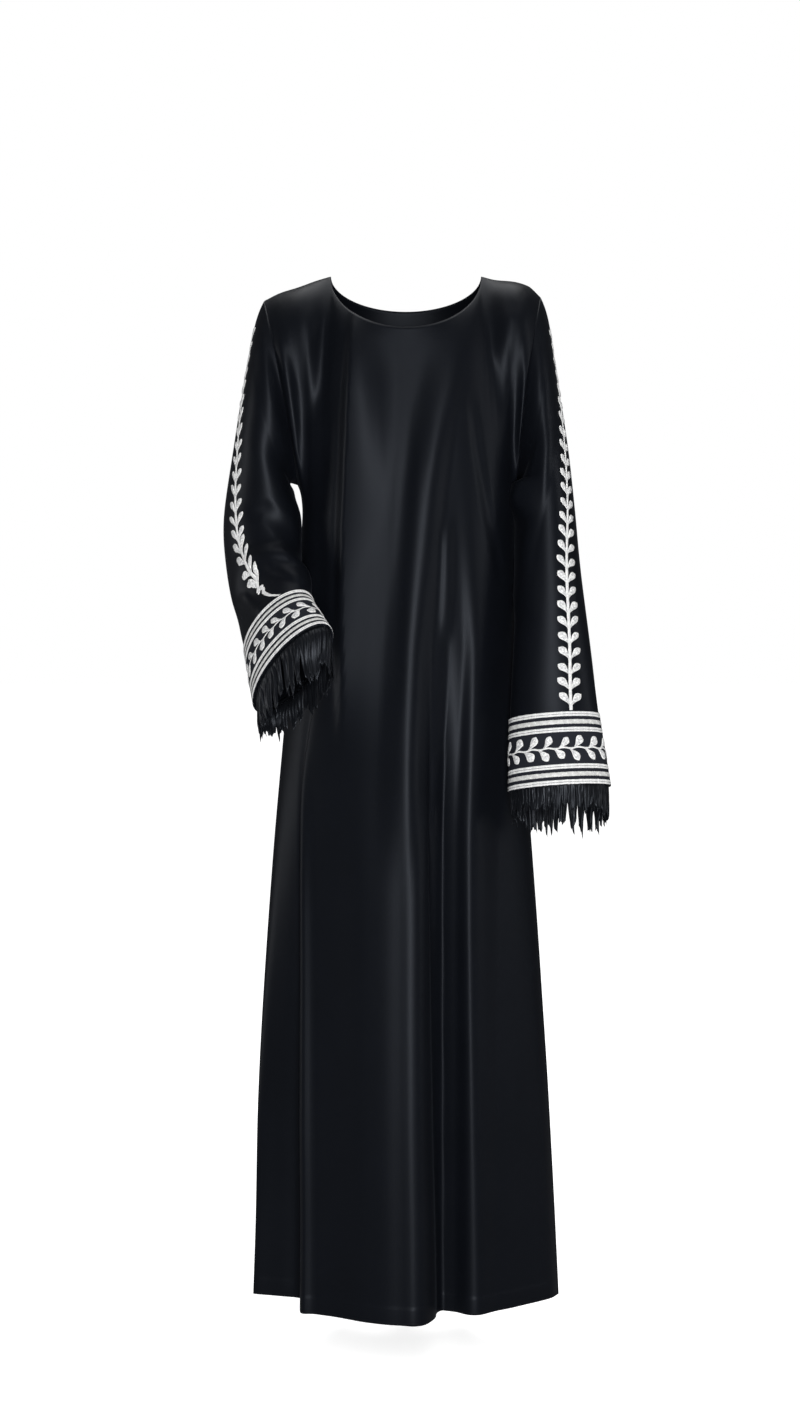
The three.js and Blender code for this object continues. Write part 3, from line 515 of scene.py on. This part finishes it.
def make_crepe(name, colour, deep, roughness, shine):
    material, tree = start_material(name)
    where = add_node(tree, "ShaderNodeTexCoord")
    grain = add_node(tree, "ShaderNodeTexNoise",
                     {"Scale": 1000 / CREPE_GRAIN_MM, "Detail": 2.0, "Roughness": 0.6},
                     {"Vector": where.outputs["Object"]})
    slub = add_node(tree, "ShaderNodeTexNoise", {"Scale": 1000 / SLUB_MM, "Detail": 3.0},
                    {"Vector": where.outputs["Object"]})
    shade = add_node(tree, "ShaderNodeMix", {"data_type": "RGBA"}, {"Factor": slub.outputs["Fac"]})
    shade.inputs["A"].default_value, shade.inputs["B"].default_value = dye(deep), dye(colour)
    rough = add_node(tree, "ShaderNodeMapRange",
                     {"To Min": roughness - 0.03, "To Max": roughness + 0.04},
                     {"Value": grain.outputs["Fac"]})
    bump = add_node(tree, "ShaderNodeBump", {"Strength": 0.10, "Distance": 0.0004},
                    {"Height": grain.outputs["Fac"]})
    cloth = add_node(tree, "ShaderNodeBsdfPrincipled",
                     {"IOR": 1.5, "Specular IOR Level": shine, "Specular Tint": dye("#e9f1ff"),
                      "Sheen Weight": 0.02, "Sheen Roughness": 0.3, "Sheen Tint": dye("#aab2c4")},
                     {"Base Color": shade.outputs["Result"], "Roughness": rough.outputs["Result"],
                      "Normal": bump.outputs["Normal"]})
    finish_material(tree, cloth)
    return material


CREPE = make_crepe("satin_faced_crepe_black", "#0c0e13", "#090b0f", 0.44, 0.11)
BAND_CLOTH = make_crepe("band_cloth_charcoal", "#24262c", "#1c1d22", 0.65, 0.06)
FRINGE_SATIN = make_crepe("frayed_satin_black", "#131519", "#0a0b0d", 0.34, 0.16)
print("cloth materials:", CREPE.name, BAND_CLOTH.name, FRINGE_SATIN.name)

# %% Silver-white embroidery thread
THREAD_MM = 0.9          # real stitches lie 0.4 mm apart, drawn coarser to show


def make_thread(name, light, dark, mottle_shift):
    """Satin stitch: fine rows along the leaf, a painted highlight along its edge, grey mottling
    elsewhere.
    """
    material, tree = start_material(name)
    where = add_node(tree, "ShaderNodeUVMap", {"uv_map": "stitch"})
    rows = add_node(tree, "ShaderNodeTexWave",
                    {"bands_direction": "DIAGONAL", "Scale": 1000 / THREAD_MM / 20, "Distortion": 2.0,
                     "Detail": 2.0, "Detail Scale": 1.5}, {"Vector": where.outputs["UV"]})
    # Grey mottling: darker thread in random spots.
    grey_mottle = add_node(tree, "ShaderNodeTexNoise", {"Scale": 330.0, "Detail": 4.0, "Roughness": 0.75},
                    {"Vector": where.outputs["UV"]})
    # Painted highlight: where the edge mask is high, the thread takes its lightest colour.
    rim_highlight = add_node(tree, "ShaderNodeAttribute", {"attribute_name": "rim_highlight"})
    amount = add_node(tree, "ShaderNodeMapRange",
                      {"From Min": 0.60 - mottle_shift, "From Max": 0.40 - mottle_shift, "To Min": 0.0, "To Max": 1.0},
                      {"Value": grey_mottle.outputs["Fac"]})
    less = add_node(tree, "ShaderNodeMath", {"operation": "MAXIMUM"},
                    {0: amount.outputs["Result"], 1: rim_highlight.outputs["Fac"]})
    ridge = add_node(tree, "ShaderNodeMapRange", {"To Min": 0.82, "To Max": 1.0},
                     {"Value": rows.outputs["Fac"]})
    share = add_node(tree, "ShaderNodeMath", {"operation": "MULTIPLY"},
                     {0: less.outputs["Value"], 1: ridge.outputs["Result"]})
    colour = add_node(tree, "ShaderNodeMix", {"data_type": "RGBA"}, {"Factor": share.outputs["Value"]})
    colour.inputs["A"].default_value, colour.inputs["B"].default_value = dye(dark), dye(light)
    bump = add_node(tree, "ShaderNodeBump", {"Strength": 0.45, "Distance": 0.0004},
                    {"Height": rows.outputs["Fac"]})
    thread = add_node(tree, "ShaderNodeBsdfPrincipled",
                      {"IOR": 1.5, "Roughness": 0.45, "Sheen Weight": 0.1},
                      {"Base Color": colour.outputs["Result"], "Normal": bump.outputs["Normal"]})
    finish_material(tree, thread)
    return material


THREAD = make_thread("rayon_thread_silver_white", "#f3f3f1", "#9a9b9e", 0.0)
THREAD_ROUGH = make_thread("couched_thread_silver_grey", "#f2f2ef", "#4c4d50", 0.03)

# %% [markdown]
# ## Front and back
# Both panels share their side seams and shoulder seams, so they are made from
# the same functions and meet with a hair of a gap, which reads as a seam.

# %% The two body panels
COLUMNS, CROWDING = 151, 0.86        # columns across a panel, closer together at its sides
S_FINE = np.sin(np.linspace(-1, 1, COLUMNS) * math.pi / 2 * CROWDING) / math.sin(math.pi / 2 * CROWDING)
HEM_ROWS = [-LENGTH, -1418, -1410, -1400, -1398, -1396, -1393]
ROWS_LOW = np.concatenate([HEM_ROWS, np.linspace(-1385, -300, 126), [-296, -292, UNDERARM]])
ROWS_HIGH = np.linspace(0, 1, 61)[1:]
ROWS_FINE = np.concatenate([ROWS_LOW, ROWS_HIGH])
HEM_STEP = 0.8           # the turned-up hem stands out this much over its last 24 mm
HEM_STEP_Z = (-1395, -1399)
HEM_STEP_S = (1, 0.9)    # it dies away at the side seams, so that the panels still meet


def inset(points, amount=SEAM_GAP / 2):
    """Pull the side seam and armhole edges back by half the seam gap."""
    out = points.copy()
    for edge, inner in ((0, 1), (-1, -2)):
        out[edge] += unit(points[inner] - points[edge]) * amount
    return out


for name, side in (("front_panel", -1), ("back_panel", 1)):
    points = panel_points(side, S_FINE[:, None], ROWS_FINE[None, :])
    if side < 0:
        points = raise_folds(points)
    step = side * HEM_STEP * smooth(*HEM_STEP_Z, points[..., 2])
    points[..., 1] += step * smooth(*HEM_STEP_S, abs(S_FINE))[:, None]
    obj = cloth_object(name + "_cloth", inset(points), CREPE, flip=side > 0)
    keep(obj, [f"{name}_{part}" for part in PANEL_LENGTHS])

# %% [markdown]
# ## Sleeves
# The sleeve tube is closed all round, so its seam lies hidden under the arm.
# A dense copy of its surface is kept as a table, because the embroidery has to
# lie exactly on it.

# %% The two sleeves
ANGLES = np.linspace(0, 2 * math.pi, 144, endpoint=False)
STATIONS = 170           # loops of points down a sleeve
PRESSES = (
    # how far in, heights over which it comes in, heights over which it is gone again
    (3.2, (-288, -306), (-480, -440)),       # the hanging sleeve leans on the side of the body
    (14.0, (-280, -291), (-345, -310)),      # and goes further in just under the arm
)
PRESS_X = (182, 163)     # only the cloth nearest the body is pressed
sleeves = {}
for name, side in (("sleeve_right", RIGHT), ("sleeve_left", LEFT)):
    stations = np.linspace(0, len(SLEEVES[side]), STATIONS)
    points = raise_folds(sleeve_grid(side, ANGLES, stations))
    normals = grid_normals(points, True, flip=side)
    ring, ring_normals = points[:, -8], normals[:, -8]       # any ring near the wrist tells
    outward = np.sign(np.mean(np.sum(ring_normals * (ring - ring.mean(0)), -1)))
    if side == LEFT:
        z = points[..., 2]
        press = sum(far * smooth(*begin, z) * smooth(*gone, z) for far, begin, gone in PRESSES)
        points[..., 0] -= press * smooth(*PRESS_X, points[..., 0])
    sleeves[side] = dict(points=points, normals=normals * outward, stations=stations)
    lifted = points.copy()
    lifted[:, 0] += unit(points[:, 1] - points[:, 0]) * SEAM_GAP / 2
    obj = cloth_object(name + "_cloth", lifted, CREPE, closed=True, flip=side * outward < 0)
    keep(obj, [f"{name}_{part}" for part in SLEEVE_LENGTHS])

# %% [markdown]
# ## Laying things on a sleeve
# Embroidery is worked flat and then follows the tube. The helper takes a
# distance along the sleeve's centre line and a distance across it, both in
# millimetres, and finds the point on the cloth and the way out of it.

# %% Find a point on the sleeve cloth
def look_up(side, angle, station):
    """Bilinear look into the dense sleeve table."""
    table = sleeves[side]
    count, last = len(ANGLES), len(table["stations"]) - 1
    u = np.mod(angle, 2 * math.pi) / (2 * math.pi) * count
    v = np.clip(station / table["stations"][-1], 0, 1) * last
    i, j = np.floor(u).astype(int) % count, np.clip(np.floor(v).astype(int), 0, last - 1)
    fu, fv = (u - np.floor(u))[..., None], (v - j)[..., None]
    out = []
    for grid in (table["points"], table["normals"]):
        a, b = grid[i, j], grid[(i + 1) % count, j]
        c, d = grid[i, j + 1], grid[(i + 1) % count, j + 1]
        out.append((a * (1 - fu) + b * fu) * (1 - fv) + (c * (1 - fu) + d * fu) * fv)
    return out[0], unit(out[1])


def run_length(points):
    """The distance covered at each point of a line."""
    return np.concatenate([[0], np.cumsum(np.linalg.norm(np.diff(points, axis=0), axis=-1))])


def centre_line(side):
    """Station of each point along the vine line, with its length in mm."""
    stations = np.linspace(0, len(SLEEVES[side]), 1200)
    points, _ = look_up(side, 0 * stations, stations)
    return stations, run_length(points)


LINES = {side: centre_line(side) for side in (RIGHT, LEFT)}
print("sleeve centre lines:", {side: round(float(line[1][-1])) for side, line in LINES.items()}, "mm")


def lay_on_sleeve(side, along, across, lift):
    """The point that lies so far along and across the vine line, lifted off the cloth."""
    stations, length = LINES[side]
    t = np.interp(along, length, stations)
    step_t, step_a = 1e-3, 0.02
    _, n = look_up(side, 0 * t, t)
    e_t = (look_up(side, 0 * t, t + step_t)[0] - look_up(side, 0 * t, t - step_t)[0]) / (2 * step_t)
    e_a = (look_up(side, 0 * t + step_a, t)[0] - look_up(side, 0 * t - step_a, t)[0]) / (2 * step_a)
    e1 = unit(e_t)
    e2 = unit(np.cross(n, e1)) * side
    d_angle = across / np.sum(e_a * e2, -1)
    d_t = -d_angle * np.sum(e_a * e1, -1) / np.linalg.norm(e_t, axis=-1)
    q, m = look_up(side, d_angle, t + d_t)
    return q + m * np.asarray(lift)[..., None]

# %% [markdown]
# ## Cuff bands
# Each sleeve ends in a charcoal band, 100 mm deep, laid over the cloth. It is
# made from the sleeve's own points moved outward, so that it cannot cut in.

# %% The two cuff bands
BAND_LIFT, BAND_THICK = 1.4, 0.8     # middle of the band above the middle of the cloth
BAND_SURFACE = BAND_LIFT + BAND_THICK / 2
for name, side in (("cuff_band_right", RIGHT), ("cuff_band_left", LEFT)):
    last = len(SLEEVES[side])
    stations = np.linspace(last - 1, last, 26)
    a, t = np.meshgrid(ANGLES, stations, indexing="ij")
    p, n = look_up(side, a, t)
    obj = cloth_object(name + "_cloth", p + n * BAND_LIFT, BAND_CLOTH, closed=True,
                       flip=side < 0, thickness=BAND_THICK)
    keep(obj, [name])

# %% [markdown]
# ## The leaf vine
# A leafy vine is a traditional border. Each leaf is a padded satin-stitch
# paddle, low at its rim and raised along its middle. The leaves stand in pairs
# on a couched stem that runs down the sleeve from the shoulder to the band.

# %% One padded leaf
LEAF_LENGTH, LEAF_WIDTH, LEAF_PITCH = 21.5, 9.6, 20.6
LEAF_LEAN = 45           # degrees between a leaf and the stem
LEAF_RIM, LEAF_PAD = 0.12, 1.0       # height of the rim, and of the padding in the middle
LEAF_ROWS, LEAF_COLUMNS = 13, 7


def leaf_shape(length, width, seed):
    """Flat (along, across) points of a paddle leaf, its padding height, and the edge mask for the
    thread's painted highlight.
    """
    rand = random.Random(seed)
    t = np.linspace(0, 1, LEAF_ROWS)
    half = width / 2 * np.sin(math.pi * t ** 1.9) ** 0.8 + 0.9 * (1 - t) ** 2 + LEAF_RIM
    half *= 1 + 0.05 * np.array([rand.uniform(-1, 1) for _ in t])
    c = np.linspace(-1, 1, LEAF_COLUMNS)
    x = t[:, None] * length + 0 * c[None, :]
    bend = 0.16 * length * (t - t**2)[:, None] * 1.6
    y = half[:, None] * c[None, :] - bend
    h = 0.3 + LEAF_PAD * (1 - c**4)[None, :] * np.sin(np.clip(t, 0.05, 0.96) * math.pi)[:, None] ** 0.5
    h[:, 0] = h[:, -1] = h[-1] = LEAF_RIM
    # Edge mask: where the thread gets its painted highlight.
    rim_highlight = np.clip(np.maximum(np.abs(c)[None, :] ** 3 + 0 * t[:, None], (t**6)[:, None]), 0, 1)
    return x, y, h, rim_highlight


def place_leaf(put, along, across, heading, size, mirror, seed, base_lift):
    """put(along, across, lift) gives 3-D points. heading 0 points back up the line."""
    x, y, h, rim_highlight = leaf_shape(*size, seed)
    y = y * mirror
    ca, sa = math.cos(heading), math.sin(heading)
    a = along - (x * ca - y * sa)
    c = across + (x * sa + y * ca)
    points = put(a.ravel(), c.ravel(), (h + base_lift).ravel())
    uv = np.stack([x.ravel(), y.ravel()], -1) / 1000 + (seed % 7) * 0.013
    return points, grid_faces(LEAF_ROWS, LEAF_COLUMNS), uv, rim_highlight.ravel()

# %% The vine down each sleeve
VINE_START = {RIGHT: 42.0, LEFT: 48.0}           # below the shoulder tip
VINE_BARE = {RIGHT: 68, LEFT: 0}                 # bare stem above the band
VINE_SLIM = {RIGHT: 0.80, LEFT: 1.0}             # leaves are slimmer on the bent arm
STEM_WIDTH, STEM_CROWN, STEM_STEPS = 4.6, 0.9, 260
VINE_SWING = dict(along=[0, 160, 220, 266, 306, 342, 360, 382, 396, 420, 440, 455, 466, 472, 477],
                  across=[0, 0, 3, 7, 9, 12, 16, 23, 28.5, 33, 34.5, 30, 22, 14, 6])
SLEEVE_LIFT = CLOTH / 2 + 0.05


def strip(put, along, centre, width, lift, crown, seed=0, columns=5):
    """A raised thread line that follows (along, centre)."""
    c = np.linspace(-1, 1, columns)
    rand = random.Random(seed)
    rag = np.array([1 + 0.10 * rand.uniform(-1, 1) for _ in along])
    a = along[:, None] + 0 * c[None, :]
    b = centre[:, None] + width / 2 * rag[:, None] * c[None, :]
    h = lift + crown * np.sqrt(np.clip(1 - c**2, 0, 1))[None, :] + 0 * a
    h[:, 0] = h[:, -1] = lift - 0.1
    points = put(a.ravel(), b.ravel(), h.ravel())
    # Stems and stripes take 0.6 of the painted edge highlight all over.
    return points, grid_faces(len(along), columns), np.stack([a.ravel(), b.ravel()], -1) / 1000, 0.6


def swing(side, along):
    """On the bent arm the vine keeps to the outside until it nears the band."""
    return 0 * along if side == LEFT else curve(VINE_SWING, "along", along, "across")


def leaf_stops(put, top, band_top):
    """Places an even pitch apart on the real cloth, counted up from the band."""
    along = np.linspace(top, band_top, 600)
    run = run_length(put(along, 0 * along, 0 * along))
    stops = run[-1] - 8 - LEAF_PITCH * np.arange(int(run[-1] // LEAF_PITCH))
    return np.interp(stops, run, along)


for side, name in ((RIGHT, "right"), (LEFT, "left")):
    def put(a, c, h, side=side):
        return lay_on_sleeve(side, a, c + swing(side, a), h)

    stations, length = LINES[side]
    last = len(SLEEVES[side])
    band_top = float(np.interp(last - 1, stations, length))
    stem = np.linspace(VINE_START[side], band_top - 1, STEM_STEPS)
    parts = [strip(put, stem, 0 * stem, STEM_WIDTH, SLEEVE_LIFT, STEM_CROWN, side + 5)]
    slim = VINE_SLIM[side]
    for k, at in enumerate(leaf_stops(put, VINE_START[side], band_top - VINE_BARE[side])):
        for lean in (-1, 1):
            seed = 100 * (side + 2) + 2 * k + (lean > 0)
            jitter = random.Random(seed)
            size = (LEAF_LENGTH * jitter.uniform(0.94, 1.05),
                    slim * LEAF_WIDTH * jitter.uniform(0.92, 1.06))
            heading = lean * math.radians(LEAF_LEAN * slim + jitter.uniform(-5, 5))
            parts.append(place_leaf(put, at, lean * 1.0, heading, size, lean, seed, SLEEVE_LIFT))
    keep(joined("vine_" + name, parts, THREAD))
    print(k + 1, "pairs of leaves")

# %% [markdown]
# ## The embroidered bands
# Three stripes edge the band at the top and at the bottom, and a second vine
# runs round it between them. The middle stripe of each three is couched in
# rougher thread, and the outer ones have a fine line down their centre.

# %% A helper that lays things on a band
def band_put(side):
    last = len(SLEEVES[side])
    stations = np.linspace(last - 1, last, 60)
    height = run_length(look_up(side, 0 * stations, stations)[0])
    turn = np.linspace(0, 2 * math.pi, 721)
    around = run_length(look_up(side, turn, 0 * turn + last - 0.5)[0])

    def put(a, c, h):
        """a runs round the band, c down it from its top edge."""
        angle = np.interp(np.mod(a, around[-1]), around, turn)
        p, n = look_up(side, angle, np.interp(c * height[-1] / BAND_HEIGHT, height, stations))
        return p + n * np.asarray(h)[..., None]
    return put, float(around[-1])

# %% Stripes, centre lines and the band vine
STRIPE, STRIPE_GAP, STRIPE_MARGIN = 6.4, 4.2, 0.6
STRIPE_CROWN = 0.55
HALF_STRIPE = 3.1        # an outer stripe is two rows of this width with a fine line between
STRIPE_TOPS = [STRIPE_MARGIN + k * (STRIPE + STRIPE_GAP) for k in range(3)]
STRIPE_TOPS += [BAND_HEIGHT - top - STRIPE for top in STRIPE_TOPS]
LEAF_ROUND, LEAF_ROUND_WIDTH = 19.6, 10.4
LEAF_STAGGER, LEAF_ROUND_LEAN = 7, 52
BAND_STEM, BAND_STEM_WAVE = 2.6, 0.8
for side, name in ((RIGHT, "right"), (LEFT, "left")):
    put, around = band_put(side)
    loop = np.linspace(0, around, 361)
    smooth_parts, rough_parts = [], []
    for k, top in enumerate(STRIPE_TOPS):
        if k % 3 == 1:
            parts, width, middles = rough_parts, STRIPE, [top + STRIPE / 2]
        else:
            parts, width = smooth_parts, HALF_STRIPE
            middles = [top + HALF_STRIPE / 2, top + STRIPE - HALF_STRIPE / 2]
        for middle in middles:
            def put_round(a, c, h, middle=middle):
                return put(a, middle + c, h)

            parts.append(strip(put_round, loop, 0 * loop, width, BAND_SURFACE, STRIPE_CROWN, int(middle)))
    count = int(around // LEAF_ROUND)
    pitch = around / count

    def put_vine(a, c, h):
        return put(a, BAND_HEIGHT / 2 + c, h)

    wave = BAND_STEM_WAVE * np.sin(loop / pitch * 2 * math.pi)
    smooth_parts.append(strip(put_vine, loop, wave, BAND_STEM, BAND_SURFACE, 0.5, 3, 4))
    for k in range(count):
        for lean in (-1, 1):
            seed = 900 + 50 * side + 2 * k + (lean > 0)
            jitter = random.Random(seed)
            size = (LEAF_ROUND * jitter.uniform(0.92, 1.06), LEAF_ROUND_WIDTH * jitter.uniform(0.88, 1.1))
            heading = lean * math.radians(LEAF_ROUND_LEAN + jitter.uniform(-8, 8))
            at = k * pitch + (LEAF_STAGGER if lean > 0 else 0)
            smooth_parts.append(
                place_leaf(put_vine, at, lean * 0.8, heading, size, lean, seed, BAND_SURFACE))
    for label, parts, material in (("stripes_and_leaves_", smooth_parts, THREAD),
                                   ("couched_stripes_", rough_parts, THREAD_ROUGH)):
        keep(joined(label + name, parts, material))
    print(count, "pairs of leaves round the band")

# %% [markdown]
# ## Fringe
# A ragged fringe of torn satin strips hangs inside each cuff from a narrow tape.
# The strips overlap like the pages of a book, crease lengthwise and catch the
# light one by one. Some are tucked back, so they are longest on the upper lip of
# the bent cuff and behind on the hanging one, and each tip is torn on the slant.

# %% Fringe strips
FRINGE_COUNT, FRINGE_THICK = 64, 0.3
FRINGE_LENGTHS = {RIGHT: (66, 40, 0.0), LEFT: (52, 30, 3.9)}     # longest, shortest, where longest
FRINGE_FOLLOW = {RIGHT: 0.30, LEFT: 0.50}        # how much a strip keeps to the way of the sleeve
FRINGE_WEIGHT = np.array([0, 0, -0.70])          # and how much it falls straight down
STRIP_ROWS, STRIP_COLUMNS = 12, 7
TAPE_FACES = ((-1.0, False), (-1.6, True))       # depth inside the cuff, and which way it faces


def fringe_length(side, angle):
    """Length of the strips at an angle round the cuff, counted from the shoulder side."""
    longest, shortest, middle = FRINGE_LENGTHS[side]
    share = 0.5 + 0.5 * np.cos(angle - middle)
    return shortest + (longest - shortest) * share


for side, name in ((RIGHT, "right"), (LEFT, "left")):
    rand = random.Random(17 + side)
    last = len(SLEEVES[side])
    axis = unit(SLEEVES[side][-1][1])
    parts = []
    a, t = np.meshgrid(np.linspace(0, 2 * math.pi, 145), np.linspace(last - 0.11, last - 0.012, 4),
                       indexing="ij")
    p, n = look_up(side, a, t)
    for lift, inner in TAPE_FACES:
        parts.append(((p + n * lift).reshape(-1, 3), grid_faces(*a.shape, flip=not inner),
                      np.zeros((a.size, 2)), 0.0))
    for k in range(FRINGE_COUNT):
        angle = 2 * math.pi * (k + rand.uniform(-0.25, 0.25)) / FRINGE_COUNT
        (root, beside), (out, _) = look_up(side, np.array([angle, angle + 0.05]), np.full(2, last - 0.03))
        across = unit(beside - root)
        length = fringe_length(side, angle) * rand.uniform(0.82, 1.12)
        width = rand.uniform(7.0, 11.5)
        fall = unit(FRINGE_FOLLOW[side] * axis + FRINGE_WEIGHT - out * rand.uniform(0.0, 0.06)
                    + across * rand.uniform(-0.10, 0.10))
        begin = unit(axis - out * 0.05)
        slant, crease, lap = rand.uniform(-0.16, 0.16), rand.uniform(0.8, 2.4), rand.uniform(0.1, 0.45)
        wave, phase = rand.uniform(0.4, 1.6), rand.uniform(0, 6)
        c = np.linspace(-1, 1, STRIP_COLUMNS)
        torn = np.array([1 + slant * v + rand.uniform(-0.06, 0.06) for v in c])
        u = np.linspace(0, 1, STRIP_ROWS)[:, None] * torn[None, :]
        down = u * length
        turn_down = smooth(0, 0.7, u)[..., None]
        way = unit(begin * (1 - 0.75 * turn_down) + fall * 0.75 * turn_down)
        half = width / 2 * (0.94 - 0.30 * smooth(0.55, 1.0, u[:, STRIP_COLUMNS // 2]))[:, None]
        fold = crease * np.cos(c * math.pi * 1.5 + phase)[None, :] * smooth(0.0, 0.4, u)
        depth = (-1.35 - lap - 1.2 * (c[None, :] + 1) * lap + fold * 0.6
                 - 1.3 * np.sin(u * 5 + phase) * wave * smooth(0, 0.5, u))
        depth = np.minimum(depth, -1.2)      # never out through the cuff
        points = (root + way * down[..., None] + across * (half * c[None, :])[..., None]
                  + out * depth[..., None])
        uv = np.stack([down, half * c[None, :] + 0 * down], -1).reshape(-1, 2) / 1000
        parts.append((points.reshape(-1, 3), grid_faces(STRIP_ROWS, STRIP_COLUMNS), uv, 0.0))
    obj = joined("fringe_" + name + "_strips", parts, FRINGE_SATIN)
    thicken(obj, FRINGE_THICK)
    keep(obj, ["fringe_" + name])

# %% [markdown]
# ## The cloth pieces
# Six pieces are sheets that were cut flat and hang freely. The embroidery and
# the fringe are separate pieces on them.

# %% [markdown]
# ## Floor, light and camera
# A near-white seamless floor and a few large soft lights. Black satin shows only what
# it reflects, so a tall soft light near the camera draws the bright line down
# each fold, and the rest of the room is kept dim. Most of the floor's white is
# painted glow that only the camera sees.

# %% Floor
FLOOR_Z = -1500
FLOOR_X, FLOOR_FRONT, FLOOR_BACK = 30000, -6000, 60000
# Painted glow: to the camera the floor glows, dimmer within 1.6 m of the origin so the garment's shadow
# shows, full white beyond 2.4 m. In the cloth's reflections and bounces it is mid-grey paper without
# glow.
floor_material, tree = start_material("white_paper_with_painted_glow")
ray = add_node(tree, "ShaderNodeLightPath")
place = add_node(tree, "ShaderNodeTexCoord")
away = add_node(tree, "ShaderNodeVectorMath", {"operation": "LENGTH"}, {0: place.outputs["Object"]})
painted_glow_ramp = add_node(tree, "ShaderNodeMapRange",
                {"From Min": 1.6, "From Max": 2.4, "To Min": 0.72, "To Max": 1.1},
                {"Value": away.outputs["Value"]})
glow = add_node(tree, "ShaderNodeMath", {"operation": "MULTIPLY"},
                {0: ray.outputs["Is Camera Ray"], 1: painted_glow_ramp.outputs["Result"]})
paper = add_node(tree, "ShaderNodeMix", {"data_type": "RGBA"}, {"Factor": ray.outputs["Is Camera Ray"]})
paper.inputs["A"].default_value, paper.inputs["B"].default_value = dye("#8c8c8e"), dye("#fbfbfb")
matt = add_node(tree, "ShaderNodeBsdfPrincipled",
                {"Roughness": 0.9, "Specular IOR Level": 0.0, "Emission Color": dye("#ffffff")},
                {"Base Color": paper.outputs["Result"], "Emission Strength": glow.outputs["Value"]})
finish_material(tree, matt)
corners = [(-FLOOR_X, FLOOR_FRONT, FLOOR_Z), (FLOOR_X, FLOOR_FRONT, FLOOR_Z),
           (FLOOR_X, FLOOR_BACK, FLOOR_Z), (-FLOOR_X, FLOOR_BACK, FLOOR_Z)]
floor = new_object("floor", corners, [[0, 1, 2, 3]], floor_material)

# %% Lights and the room
LIGHTS = [
    # name, where it hangs, what it points at, width and height in metres, watts
    ("key", (0.15, -3.35, -0.30), (0, 0, -0.60), (0.6, 2.3), 90),
    ("key_high", (0.15, -2.9, 1.30), (0, 0, -0.25), (0.8, 1.0), 16),
    ("key_low", (0.12, -3.0, -1.18), (0, 0, -1.30), (0.6, 0.6), 24),
    ("side_left", (-2.8, 0.35, -0.6), (0, 0, -0.8), (0.6, 2.4), 20),
    ("side_right", (2.7, -0.6, 0.0), (0, 0, -0.7), (0.6, 2.4), 18),
    ("top", (0, 0.9, 2.6), (0, 0.3, -1.5), (2.6, 2.6), 70),
]
for name, where, aim, size, power in LIGHTS:
    data = bpy.data.lights.new(name, "AREA")
    data.shape, data.size, data.size_y, data.energy = "RECTANGLE", size[0], size[1], power
    lamp = bpy.data.objects.new(name, data)
    lamp.location = where
    lamp.rotation_euler = (Vector(aim) - Vector(where)).to_track_quat("-Z", "Y").to_euler()
    bpy.context.scene.collection.objects.link(lamp)

world = bpy.data.worlds.new("studio")
bpy.context.scene.world = world
world.use_nodes = True
tree = world.node_tree
tree.nodes.clear()
seen = add_node(tree, "ShaderNodeBackground", {"Color": dye("#ffffff"), "Strength": 1.0})
lit = add_node(tree, "ShaderNodeBackground", {"Color": dye("#ffffff"), "Strength": 0.05})
ray = add_node(tree, "ShaderNodeLightPath")
room = add_node(tree, "ShaderNodeMixShader", {},
                {0: ray.outputs["Is Camera Ray"], 1: lit.outputs[0], 2: seen.outputs[0]})
add_node(tree, "ShaderNodeOutputWorld", {}, {"Surface": room.outputs[0]})

# %% Camera
PICTURE_HEIGHT, FOCAL_PIXELS, HORIZON_ROW = 1422, 2208, 650      # for a picture 800 x 1422
CAMERA_AT = (-0.0083, -3.07, -0.517)
camera_data = bpy.data.cameras.new("camera")
camera_data.sensor_fit = "VERTICAL"
camera_data.angle = 2 * math.atan(PICTURE_HEIGHT / 2 / FOCAL_PIXELS)
camera = bpy.data.objects.new("camera", camera_data)
camera.location = CAMERA_AT
tilt = math.atan((PICTURE_HEIGHT / 2 - HORIZON_ROW) / FOCAL_PIXELS)
camera.rotation_euler = (math.pi / 2 - tilt, 0, 0)
bpy.context.scene.collection.objects.link(camera)
bpy.context.scene.camera = camera
bpy.context.scene.view_settings.view_transform = "Standard"
